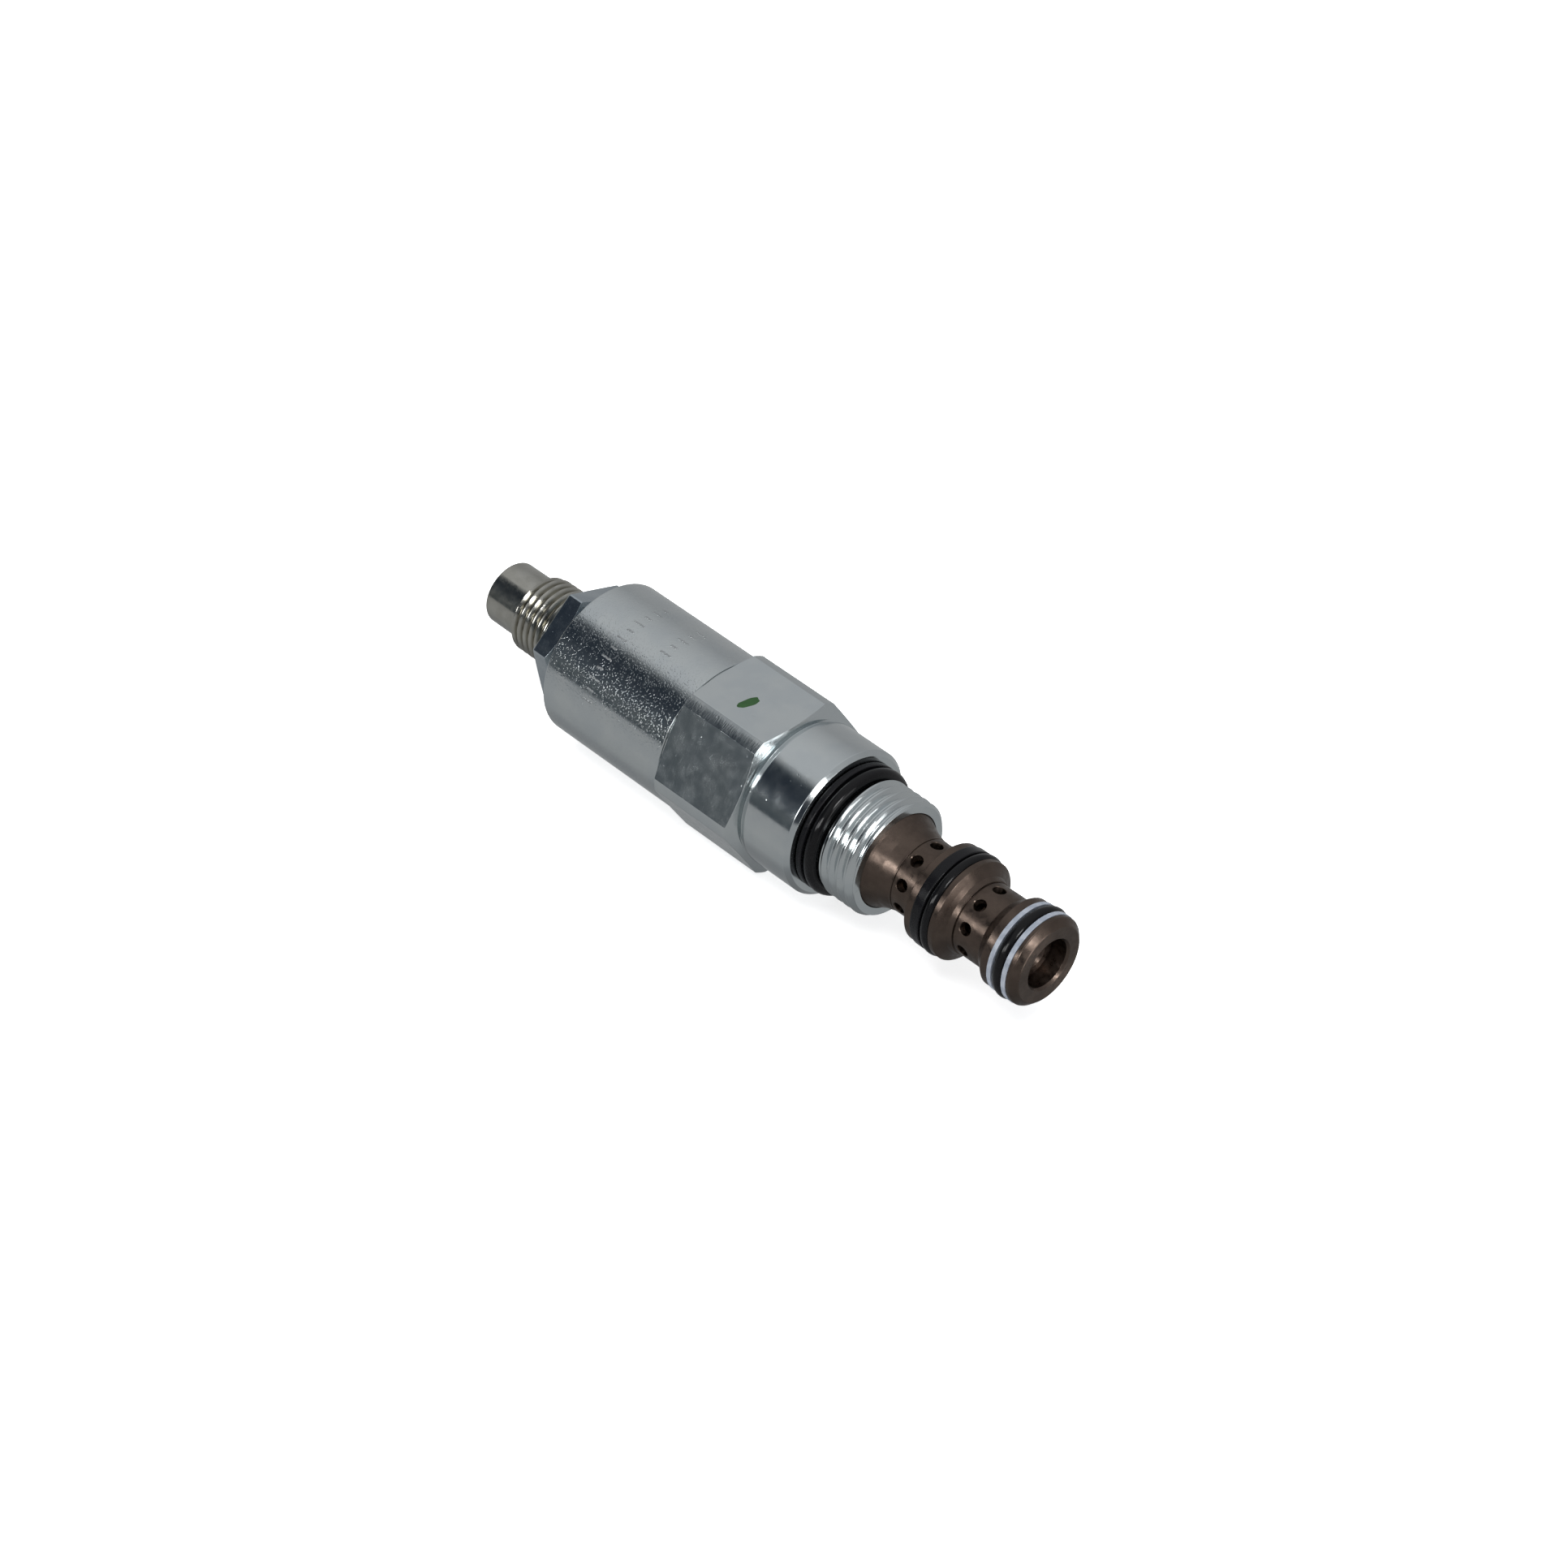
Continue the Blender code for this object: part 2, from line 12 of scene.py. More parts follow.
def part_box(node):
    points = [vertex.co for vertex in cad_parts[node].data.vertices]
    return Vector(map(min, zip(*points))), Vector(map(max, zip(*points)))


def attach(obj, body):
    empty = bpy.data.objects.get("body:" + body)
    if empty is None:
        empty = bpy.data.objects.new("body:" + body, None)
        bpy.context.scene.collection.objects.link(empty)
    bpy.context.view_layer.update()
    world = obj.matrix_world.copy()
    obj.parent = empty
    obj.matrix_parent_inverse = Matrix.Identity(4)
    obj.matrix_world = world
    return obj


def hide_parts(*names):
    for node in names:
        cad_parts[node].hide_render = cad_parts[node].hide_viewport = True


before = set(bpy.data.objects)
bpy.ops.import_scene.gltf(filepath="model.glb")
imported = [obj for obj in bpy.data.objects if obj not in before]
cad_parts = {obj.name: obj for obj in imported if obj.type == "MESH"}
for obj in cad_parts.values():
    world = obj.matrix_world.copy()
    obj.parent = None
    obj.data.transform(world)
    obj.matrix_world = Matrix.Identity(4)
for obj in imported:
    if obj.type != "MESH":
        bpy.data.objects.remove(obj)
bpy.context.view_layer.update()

mm = 0.001
cageLow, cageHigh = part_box("cage")
noseX = cageHigh[0]
axisZ = (cageLow[2] + cageHigh[2]) / 2


# ---------- mesh helpers ----------

def axisPoint(station, radius, turn):
    angle = math.radians(turn)
    return (noseX + station * mm, -math.sin(angle) * radius * mm, axisZ + math.cos(angle) * radius * mm)


def softened(corners, closed=True, steps=4, hold=0.05):
    # Rounds each (station, radius, rounding) corner and adds a holding point on both sides.
    points = []
    count = len(corners)
    for index, (station, radius, rounding) in enumerate(corners):
        here = Vector((station, radius))
        if rounding <= 0 or (not closed and index in (0, count - 1)):
            points.append((station, radius))
            continue
        before = Vector(corners[index - 1][:2]) - here
        after = Vector(corners[(index + 1) % count][:2]) - here
        room = min(before.length, after.length)
        bend = before.angle(after) / 2
        reach = min(rounding / math.tan(bend), room * 0.4)
        grip = min(hold, room * 0.08)
        before.normalize()
        after.normalize()
        start, end = here + before * reach, here + after * reach
        points.append(tuple(start + before * grip))
        for step in range(steps + 1):
            t = step / steps
            points.append(tuple(start * (1 - t) ** 2 + here * 2 * t * (1 - t) + end * t * t))
        points.append(tuple(end + after * grip))
    return points


def evenTurns(count):
    return [360 * step / count for step in range(count)]


def flatTurns(count, edges):
    # Even columns, with close ones where a flat ends.
    turns = set(round(turn, 4) for turn in evenTurns(count))
    for edge in edges:
        turns = {turn for turn in turns if abs((turn - edge + 180) % 360 - 180) > 0.9}
        turns |= {round((edge + offset) % 360, 4) for offset in (-0.8, -0.4, -0.2, 0, 0.2, 0.4, 0.8)}
    return sorted(turns)


def turnedMesh(name, profileAt, turns, closed=True):
    # Sweeps profileAt(turn), a list of (station, radius), about the axis.
    profiles = [profileAt(turn) for turn in turns]
    rows = len(profiles[0])
    points, indexOf = [], {}
    for column, turn in enumerate(turns):
        for row, (station, radius) in enumerate(profiles[column]):
            if radius < 1e-6 and column > 0:
                indexOf[column, row] = indexOf[0, row]
                continue
            indexOf[column, row] = len(points)
            points.append(axisPoint(station, radius, turn))
    faces = []
    for column in range(len(turns)):
        after = (column + 1) % len(turns)
        for row in range(rows if closed else rows - 1):
            up = (row + 1) % rows
            corners = [indexOf[column, row], indexOf[after, row], indexOf[after, up], indexOf[column, up]]
            corners = [c for i, c in enumerate(corners) if c not in corners[:i]]
            if len(corners) > 2:
                faces.append(corners)
    mesh = bpy.data.meshes.new(name)
    mesh.from_pydata(points, [], faces)
    bm = bmesh.new()
    bm.from_mesh(mesh)
    bmesh.ops.recalc_face_normals(bm, faces=bm.faces)
    bm.to_mesh(mesh)
    bm.free()
    mesh.shade_smooth()
    return mesh


def newPiece(name, mesh, material):
    mesh.materials.clear()
    mesh.materials.append(material)
    piece = bpy.data.objects.new(name, mesh)
    bpy.context.scene.collection.objects.link(piece)
    return piece


def standFor(piece, node, body):
    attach(piece, body)
    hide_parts(node)


# ---------- node helpers ----------

def addNode(tree, kind, links=None, **settings):
    # links maps an input's name or number to a socket or a value.
    node = tree.nodes.new(kind)
    for key, value in settings.items():
        setattr(node, key, value)
    for key, value in (links or {}).items():
        if isinstance(value, bpy.types.NodeSocket):
            tree.links.new(value, node.inputs[key])
        else:
            node.inputs[key].default_value = value
    return node


def calc(tree, operation, first, second=0.0, third=0.0, clamp=False):
    node = addNode(tree, "ShaderNodeMath", {0: first, 1: second, 2: third}, operation=operation)
    node.use_clamp = clamp
    return node.outputs[0]


def ramp(tree, value, fromLow, fromHigh, toLow=0.0, toHigh=1.0, kind="SMOOTHSTEP"):
    node = addNode(tree, "ShaderNodeMapRange", interpolation_type=kind)
    for key, setting in ((0, value), (1, fromLow), (2, fromHigh), (3, toLow), (4, toHigh)):
        if isinstance(setting, bpy.types.NodeSocket):
            tree.links.new(setting, node.inputs[key])
        else:
            node.inputs[key].default_value = setting
    return node.outputs[0]


def geometryTree(name, inputs):
    tree = bpy.data.node_groups.new(name, "GeometryNodeTree")
    face = tree.interface
    face.new_socket("Geometry", in_out="INPUT", socket_type="NodeSocketGeometry")
    for label, value in inputs.items():
        kind = "NodeSocketInt" if isinstance(value, int) else "NodeSocketFloat"
        face.new_socket(label, in_out="INPUT", socket_type=kind).default_value = value
    face.new_socket("Material", in_out="INPUT", socket_type="NodeSocketMaterial")
    face.new_socket("Geometry", in_out="OUTPUT", socket_type="NodeSocketGeometry")
    return tree, tree.nodes.new("NodeGroupInput"), tree.nodes.new("NodeGroupOutput")


def endTree(tree, source, geometry, result):
    realized = addNode(tree, "GeometryNodeRealizeInstances", {0: geometry})
    painted = addNode(tree, "GeometryNodeSetMaterial",
                      {"Geometry": realized.outputs[0], "Material": source.outputs["Material"]})
    tree.links.new(painted.outputs[0], result.inputs[0])


def runTree(piece, tree, material, values):
    # Runs the tree on the piece and leaves its result as a plain mesh.
    modifier = piece.modifiers.new(tree.name, "NODES")
    modifier.node_group = tree
    values = dict(values, Material=material)
    for item in tree.interface.items_tree:
        if item.item_type == "SOCKET" and item.in_out == "INPUT" and item.name in values:
            modifier[item.identifier] = values[item.name]
    bpy.context.view_layer.update()
    graph = bpy.context.evaluated_depsgraph_get()
    plain = bpy.data.meshes.new_from_object(piece.evaluated_get(graph))
    piece.modifiers.clear()
    piece.data = plain


# ---------- materials ----------

finishes = {
    "zinc": dict(colour=(0.635, 0.67, 0.675), dark=(0.595, 0.635, 0.65), roughness=0.12),
    "nut": dict(colour=(0.55, 0.6, 0.63), dark=(0.47, 0.52, 0.56), roughness=0.16),
    "punched": dict(colour=(0.5, 0.52, 0.53), dark=(0.4, 0.42, 0.43), roughness=0.34),
    "stainless": dict(colour=(0.5, 0.49, 0.45), dark=(0.44, 0.43, 0.39), roughness=0.17),
    "browned": dict(colour=(0.132, 0.1, 0.082), dark=(0.112, 0.085, 0.07), roughness=0.33),
    "rubber": dict(colour=(0.004, 0.004, 0.0045), roughness=0.13),
    "backup": dict(colour=(0.005, 0.005, 0.006), roughness=0.24),
    "white": dict(colour=(0.29, 0.315, 0.36), dark=(0.21, 0.235, 0.28), roughness=0.38),
    "steel": dict(colour=(0.3, 0.3, 0.31), dark=(0.22, 0.22, 0.23), roughness=0.28),
    "spring": dict(colour=(0.2, 0.2, 0.21), dark=(0.13, 0.13, 0.14), roughness=0.36),
    "paint": dict(colour=(0.018, 0.066, 0.014), dark=(0.008, 0.032, 0.007), roughness=0.5),
}


def startMaterial(name, finish, metallic):
    material = bpy.data.materials.new(name)
    material.use_nodes = True
    tree = material.node_tree
    shader = tree.nodes["Principled BSDF"]
    shader.inputs["Base Color"].default_value = (*finish["colour"], 1)
    shader.inputs["Roughness"].default_value = finish["roughness"]
    shader.inputs["Metallic"].default_value = metallic
    return material, tree, shader


def objectPlace(tree, scale=(1, 1, 1)):
    # Object coordinates measured from the valve axis.
    place = addNode(tree, "ShaderNodeTexCoord").outputs["Object"]
    moved = addNode(tree, "ShaderNodeMapping", {"Vector": place}, vector_type="POINT")
    moved.inputs["Location"].default_value = (0, 0, -axisZ * scale[2])
    moved.inputs["Scale"].default_value = scale
    return moved.outputs[0]


def noise(tree, place, size, detail=2.0, roughness=0.5, distortion=0.0):
    # size is the spacing of the pattern in millimetres.
    return addNode(tree, "ShaderNodeTexNoise",
                   {"Vector": place, "Scale": 1 / (size * mm), "Detail": detail,
                    "Roughness": roughness, "Distortion": distortion}).outputs[0]


def mixColour(tree, factor, first, second):
    node = addNode(tree, "ShaderNodeMix", data_type="RGBA")
    for key, value in ((0, factor), (6, first), (7, second)):
        if isinstance(value, bpy.types.NodeSocket):
            tree.links.new(value, node.inputs[key])
        elif key == 0:
            node.inputs[key].default_value = value
        else:
            node.inputs[key].default_value = (*value, 1)
    return node.outputs[2]


def bump(tree, height, depth, normal=None, strength=1.0):
    node = addNode(tree, "ShaderNodeBump", {"Height": height, "Distance": depth * mm, "Strength": strength})
    if normal is not None:
        tree.links.new(normal, node.inputs["Normal"])
    return node.outputs[0]


def colourStops(tree, value, stops):
    # stops maps places from 0 to 1 to colours.
    node = addNode(tree, "ShaderNodeValToRGB", {0: value})
    marks = node.color_ramp.elements
    while len(marks) < len(stops):
        marks.new(0.5)
    for mark, (place, colour) in zip(marks, stops):
        mark.position, mark.color = place, (*colour, 1)
    return node.outputs[0]


def axisRadius(tree):
    # Distance from the valve axis, in metres.
    parts = addNode(tree, "ShaderNodeSeparateXYZ", {0: objectPlace(tree)}).outputs
    squares = calc(tree, "ADD", calc(tree, "POWER", parts[1], 2.0), calc(tree, "POWER", parts[2], 2.0))
    return calc(tree, "SQRT", squares)


def cloudyColour(tree, shader, finish, place, size):
    cloud = ramp(tree, noise(tree, place, size, 3.0), 0.35, 0.65)
    colour = mixColour(tree, cloud, finish["dark"], finish["colour"])
    tree.links.new(colour, shader.inputs["Base Color"])


def platedMaterial(name, finish, grain, grainDepth, milled=None, turning=0.0, flecks=0.0):
    # Bright plating: cloudy colour, fine grain, flecks, a few pits, and tool marks below the plating.
    material, tree, shader = startMaterial(name, finish, 1.0)
    place = objectPlace(tree)
    cloudyColour(tree, shader, finish, place, 5.0)
    dull = finish["roughness"]
    smear = ramp(tree, noise(tree, place, 1.6, 3.0), 0.3, 0.75, dull * 0.8, dull * 1.45)
    tree.links.new(smear, shader.inputs["Roughness"])
    normal = bump(tree, noise(tree, place, grain, 2.0, 0.6), grainDepth)
    pits = ramp(tree, noise(tree, place, 0.9, 1.0), 0.74, 0.8)
    normal = bump(tree, calc(tree, "MULTIPLY", pits, -1.0), 0.015, normal)
    if flecks > 0:
        spots = ramp(tree, noise(tree, place, 0.3, 1.5, 0.6), 0.54, 0.68)
        normal = bump(tree, spots, flecks, normal)
    if turning > 0:
        rings = noise(tree, objectPlace(tree, (1, 0.02, 0.02)), 0.16, 2.0)
        normal = bump(tree, rings, turning, normal)
    if milled:
        normal, inside = milledFlats(tree, normal, milled)
        tree.links.new(calc(tree, "MULTIPLY_ADD", inside, 0.05, smear), shader.inputs["Roughness"])
    tree.links.new(normal, shader.inputs["Normal"])
    return material


def milledFlats(tree, normal, milled):
    # Short cutter strokes across the flats, kept between two stations and faint on the top flat.
    strokes = noise(tree, objectPlace(tree, (1, 0.16, 0.16)), milled["spacing"], 3.0, 0.65, 0.3)
    patches = noise(tree, objectPlace(tree), 2.6, 2.0)
    parts = addNode(tree, "ShaderNodeSeparateXYZ", {0: objectPlace(tree)}).outputs
    onTop = ramp(tree, parts[2], milled["topLow"] * mm, milled["topHigh"] * mm, 1.0, 0.1)
    strength = calc(tree, "MULTIPLY", ramp(tree, patches, 0.35, 0.65, 0.5, 1.0), onTop)
    rise = ramp(tree, parts[0], noseX + (milled["back"] - 0.1) * mm, noseX + (milled["back"] + 0.1) * mm)
    fall = ramp(tree, parts[0], noseX + (milled["front"] - 0.1) * mm,
                noseX + (milled["front"] + 0.1) * mm, 1.0, 0.0)
    inside = calc(tree, "MULTIPLY", rise, fall)
    height = calc(tree, "MULTIPLY", calc(tree, "MULTIPLY", strokes, strength), inside)
    return bump(tree, height, milled["depth"], normal), inside


def turnedMaterial(name, finish, anisotropy, ringSize, ringDepth, rootShade=None, grainDepth=0.004):
    # Lathe-turned metal: rings round the axis, colour that varies softly, and painted shade that darkens the
    # thread roots.
    material, tree, shader = startMaterial(name, finish, 1.0)
    place = objectPlace(tree)
    cloudyColour(tree, shader, finish, place, 2.2)
    # Painted shade: where the thread is cut, points nearer the axis than the crest get a darker colour,
    # standing in for shade in the grooves.
    if rootShade:
        along = addNode(tree, "ShaderNodeSeparateXYZ", {0: place}).outputs[0]
        started = ramp(tree, along, noseX + rootShade["from"] * mm, noseX + (rootShade["from"] + 0.2) * mm)
        deep = ramp(tree, axisRadius(tree), rootShade["low"] * mm, rootShade["high"] * mm, 1.0, 0.0)
        rootShadeMask = calc(tree, "MULTIPLY", started, deep)
        plain = shader.inputs["Base Color"].links[0].from_socket
        tree.links.new(mixColour(tree, rootShadeMask, plain, rootShade["colour"]), shader.inputs["Base Color"])
    dull = finish["roughness"]
    smear = ramp(tree, noise(tree, place, 0.8, 3.0), 0.3, 0.7, dull * 0.8, dull * 1.3)
    tree.links.new(smear, shader.inputs["Roughness"])
    rings = noise(tree, objectPlace(tree, (1, 0.03, 0.03)), ringSize, 3.0, 0.6)
    normal = bump(tree, rings, ringDepth)
    normal = bump(tree, noise(tree, place, 0.25, 2.0), grainDepth, normal)
    tree.links.new(normal, shader.inputs["Normal"])
    shader.inputs["Anisotropic"].default_value = anisotropy
    shader.inputs["Anisotropic Rotation"].default_value = 0.25
    if anisotropy > 0:
        tangent = addNode(tree, "ShaderNodeTangent", direction_type="RADIAL", axis="X")
        tree.links.new(tangent.outputs[0], shader.inputs["Tangent"])
    return material


def rubberMaterial(name, finish, oiled):
    material, tree, shader = startMaterial(name, finish, 0.0)
    place = objectPlace(tree)
    dull = finish["roughness"]
    film = ramp(tree, noise(tree, place, 1.1, 3.0), 0.35, 0.7, dull * 0.7, dull * 1.5)
    tree.links.new(film, shader.inputs["Roughness"])
    tree.links.new(bump(tree, noise(tree, place, 0.22, 2.0), 0.006), shader.inputs["Normal"])
    shader.inputs["IOR"].default_value = 1.25
    shader.inputs["Coat Weight"].default_value = oiled
    shader.inputs["Coat IOR"].default_value = 1.3
    shader.inputs["Coat Roughness"].default_value = 0.05
    return material


def whiteRingMaterial(name, finish):
    material, tree, shader = startMaterial(name, finish, 0.0)
    place = objectPlace(tree)
    cloudyColour(tree, shader, finish, place, 1.3)
    tree.links.new(bump(tree, noise(tree, place, 0.3, 2.0), 0.008), shader.inputs["Normal"])
    shader.inputs["Subsurface Weight"].default_value = 0.15
    shader.inputs["Subsurface Radius"].default_value = (0.0004, 0.0004, 0.0005)
    return material


def paintMaterial(name, finish):
    material, tree, shader = startMaterial(name, finish, 0.0)
    place = objectPlace(tree)
    shade = mixColour(tree, noise(tree, place, 0.5, 2.0), finish["dark"], finish["colour"])
    tree.links.new(shade, shader.inputs["Base Color"])
    tree.links.new(bump(tree, noise(tree, place, 0.3, 2.0), 0.02), shader.inputs["Normal"])
    return material


milling = dict(back=-66.0, front=-50.3, spacing=0.22, depth=0.03, topLow=12.3, topHigh=12.6)
# Painted shade for the adjuster's thread roots: start station, the radii over which the darkening fades, and
# the dark colour.
rootShade = {"from": -105.85, "low": 5.85, "high": 6.2, "colour": (0.2, 0.19, 0.15)}
zincHousing = platedMaterial("zinc_plate_housing", finishes["zinc"], 0.25, 0.006, flecks=0.0115)
punched = platedMaterial("punched_marks", finishes["punched"], 0.2, 0.004)
zincBody = platedMaterial("zinc_plate_body", finishes["zinc"], 0.35, 0.002, milling, turning=0.001)
zincNut = platedMaterial("zinc_plate_nut", finishes["nut"], 0.2, 0.004, flecks=0.006)
stainless = turnedMaterial("stainless_turned", finishes["stainless"], 0.45, 0.2, 0.0025, rootShade)
browned = turnedMaterial("browned_turned", finishes["browned"], 0.7, 0.16, 0.003, grainDepth=0.001)
rubber = rubberMaterial("oiled_rubber", finishes["rubber"], 0.25)
backupRubber = rubberMaterial("hard_rubber", finishes["backup"], 0.2)
whiteRing = whiteRingMaterial("white_backup_ring", finishes["white"])
groundSteel = turnedMaterial("ground_steel", finishes["steel"], 0.3, 0.1, 0.002)
springSteel = turnedMaterial("spring_wire", finishes["spring"], 0.0, 0.3, 0.004)
greenPaint = paintMaterial("green_paint", finishes["paint"])
print("materials made:", len(bpy.data.materials))


# ---------- screw threads ----------

def screwThreadTree():
    # Cuts a right-hand thread into a turned mesh by moving its points towards the axis.
    tree, source, result = geometryTree("screwThread", {
        "Pitch": 0.0015, "Depth": 0.001, "Crest Radius": 0.01, "Start": 0.0, "End": 0.01,
        "Run In": 0.001, "Run Out": 0.001, "Axis Height": axisZ})
    given = source.outputs
    position = addNode(tree, "GeometryNodeInputPosition").outputs[0]
    parts = addNode(tree, "ShaderNodeSeparateXYZ", {0: position}).outputs
    height = calc(tree, "SUBTRACT", parts[2], given["Axis Height"])
    squares = calc(tree, "ADD", calc(tree, "POWER", parts[1], 2.0), calc(tree, "POWER", height, 2.0))
    radius = calc(tree, "SQRT", squares)
    angle = calc(tree, "ARCTAN2", calc(tree, "MULTIPLY", parts[1], -1.0), height)
    turned = calc(tree, "DIVIDE", angle, math.tau)
    pitches = calc(tree, "DIVIDE", parts[0], given["Pitch"])
    phase = calc(tree, "FRACT", calc(tree, "SUBTRACT", pitches, turned))
    wave = calc(tree, "ABSOLUTE", calc(tree, "SUBTRACT", calc(tree, "MULTIPLY", phase, 2.0), 1.0))
    flank = ramp(tree, wave, 0.12, 0.86, 1.0, 0.0, "LINEAR")
    fadeIn = ramp(tree, parts[0], given["Start"], calc(tree, "ADD", given["Start"], given["Run In"]))
    fadeStart = calc(tree, "SUBTRACT", given["End"], given["Run Out"])
    fadeOut = ramp(tree, parts[0], fadeStart, given["End"], 1.0, 0.0)
    fade = calc(tree, "MULTIPLY", fadeIn, fadeOut)
    cut = calc(tree, "MULTIPLY", calc(tree, "MULTIPLY", flank, given["Depth"]), fade)
    limit = calc(tree, "SUBTRACT", given["Crest Radius"], cut)
    ratio = calc(tree, "DIVIDE", calc(tree, "MINIMUM", radius, limit), radius)
    moved = addNode(tree, "ShaderNodeCombineXYZ", {
        0: parts[0], 1: calc(tree, "MULTIPLY", parts[1], ratio),
        2: calc(tree, "MULTIPLY_ADD", height, ratio, given["Axis Height"])}).outputs[0]
    ahead = calc(tree, "GREATER_THAN", parts[0], given["Start"])
    behind = calc(tree, "LESS_THAN", parts[0], given["End"])
    floorRadius = calc(tree, "SUBTRACT", given["Crest Radius"], given["Depth"])
    outside = calc(tree, "GREATER_THAN", radius, floorRadius)
    chosen = calc(tree, "MULTIPLY", calc(tree, "MULTIPLY", ahead, behind), outside)
    placed = addNode(tree, "GeometryNodeSetPosition",
                     {"Geometry": given["Geometry"], "Selection": chosen, "Position": moved})
    endTree(tree, source, placed.outputs[0], result)
    return tree


screwThread = screwThreadTree()


def cutThread(piece, material, thread):
    runTree(piece, screwThread, material, {
        "Pitch": thread["pitch"] * mm, "Depth": thread["depth"] * mm, "Crest Radius": thread["crest"] * mm,
        "Start": noseX + thread["start"] * mm, "End": noseX + thread["end"] * mm,
        "Run In": thread["runIn"] * mm, "Run Out": thread["runOut"] * mm, "Axis Height": axisZ})


def threadRows(points, thread, perPitch):
    # Adds closely spaced rows between the thread's start and end stations.
    rows = []
    gap = thread["pitch"] / perPitch
    for first, second in zip(points, points[1:] + points[:1]):
        rows.append(first)
        length = second[0] - first[0]
        low, high = sorted((first[0], second[0]))
        threaded = low < thread["end"] and high > thread["start"]
        outside = min(first[1], second[1]) > thread["crest"] - thread["depth"] * 1.2
        if threaded and outside and abs(length) > gap:
            steps = int(abs(length) / gap)
            for step in range(1, steps):
                t = step / steps
                rows.append((first[0] + length * t, first[1] + (second[1] - first[1]) * t))
    return rows


# ---------- valve body ----------

def hexagonRadius(turn, halfFlats, firstFlat, limit):
    across = (turn - firstFlat + 30) % 60 - 30
    return min(halfFlats / math.cos(math.radians(across)), limit)


body = dict(
    halfFlats=12.65, cornerRadius=14.03, coneInner=12.5, collarRadius=11.92, grooveRadius=11.5,
    sealFloor=8.2, crestRadius=9.49, back=-66.44, coneBack=-66.1, hexBack=-65.63, hexFront=-50.77,
    grooveBack=-50.06, grooveFront=-49.14, collarFront=-40.1, threadBack=-36.77, threadChamfer=-30.05,
    front=-29.47, coneSlope=0.307, spigotBore=9.22, spigotFloor=-57.44, springBore=7.2, cageBack=-54.46,
    shankBore=6.52, flangeSeat=-32.76, flangeBore=7.74,
)
bodyThread = dict(pitch=1.5875, depth=0.78, crest=9.49, start=-36.9, end=-29.3, runIn=1.1, runOut=0.15)


def bodyProfile(turn):
    flat = hexagonRadius(turn, body["halfFlats"], 0, body["cornerRadius"])
    coneStep = (body["hexBack"] - body["coneBack"]) / (body["cornerRadius"] - body["coneInner"])
    flatBack = body["coneBack"] + (flat - body["coneInner"]) * coneStep
    flatFront = body["hexFront"] + (body["cornerRadius"] - flat) * body["coneSlope"]
    coneEnd = body["cornerRadius"] - (body["grooveBack"] - body["hexFront"]) / body["coneSlope"]
    corners = [
        (body["back"], body["spigotBore"], 0), (body["back"], 12.42, 0.12),
        (body["coneBack"], body["coneInner"], 0.04),
        (flatBack, flat, 0.05), (flatFront, flat, 0.06),
        (body["grooveBack"], coneEnd, 0.08), (body["grooveBack"] + 0.1, body["grooveRadius"], 0.06),
        (body["grooveFront"] - 0.1, body["grooveRadius"], 0.06),
        (body["grooveFront"], body["collarRadius"], 0.09),
        (body["collarFront"] - 0.62, body["collarRadius"], 0.16), (body["collarFront"], 11.3, 0.1),
        (body["collarFront"], body["sealFloor"], 0.15), (body["threadBack"], body["sealFloor"], 0.15),
        (body["threadBack"], 8.75, 0.05), (body["threadBack"] + 0.6, body["crestRadius"], 0.15),
        (body["threadChamfer"], body["crestRadius"], 0.1), (body["front"], 8.93, 0.08),
        (body["front"], body["flangeBore"], 0.06),
        (body["flangeSeat"], body["flangeBore"], 0), (body["flangeSeat"], body["shankBore"], 0),
        (body["cageBack"], body["shankBore"], 0), (body["cageBack"], body["springBore"], 0),
        (body["spigotFloor"], body["springBore"], 0),
        (body["spigotFloor"], body["spigotBore"], 0)]
    return threadRows(softened(corners), bodyThread, 16)


def makeBody():
    edge = math.degrees(math.acos(body["halfFlats"] / body["cornerRadius"]))
    edges = [(60 * side + sign * edge) % 360 for side in range(6) for sign in (-1, 1)]
    mesh = turnedMesh("plated_body", bodyProfile, flatTurns(180, edges))
    piece = newPiece("plated_body", mesh, zincBody)
    cutThread(piece, zincBody, bodyThread)
    standFor(piece, "valve_body", "valve_body")


makeBody()
print("body made")


# ---------- spring housing ----------

housing = dict(
    boss=-93.7, shoulder=-91.9, front=-66.47, radius=12.6, bossRadius=8.3, chamfer=0.42, screwBore=6.45,
    spigotRadius=9.1, spigotFront=-57.74, ringBack=-60.6, ringFront=-59.0, ringFloor=7.7,
    springBore=7.2, chamberBack=-87.61,
)


def housingProfile(turn):
    corners = [
        (housing["boss"], housing["screwBore"], 0), (housing["boss"], housing["bossRadius"], 0.25),
        (housing["shoulder"], housing["bossRadius"], 0.15),
        (housing["shoulder"], housing["radius"] - housing["chamfer"], 0.12),
        (housing["shoulder"] + housing["chamfer"], housing["radius"], 0.16),
        (housing["front"] - 0.12, housing["radius"], 0.06),
        (housing["front"], housing["radius"] - 0.12, 0.04),
        (housing["front"], housing["spigotRadius"], 0),
        (housing["ringBack"], housing["spigotRadius"], 0),
        (housing["ringBack"], housing["ringFloor"], 0),
        (housing["ringFront"], housing["ringFloor"], 0),
        (housing["ringFront"], housing["spigotRadius"], 0),
        (-58.1, housing["spigotRadius"], 0), (housing["spigotFront"], 8.7, 0),
        (housing["spigotFront"], housing["springBore"], 0),
        (housing["chamberBack"], housing["springBore"], 0),
        (housing["chamberBack"], housing["screwBore"], 0)]
    return softened(corners)


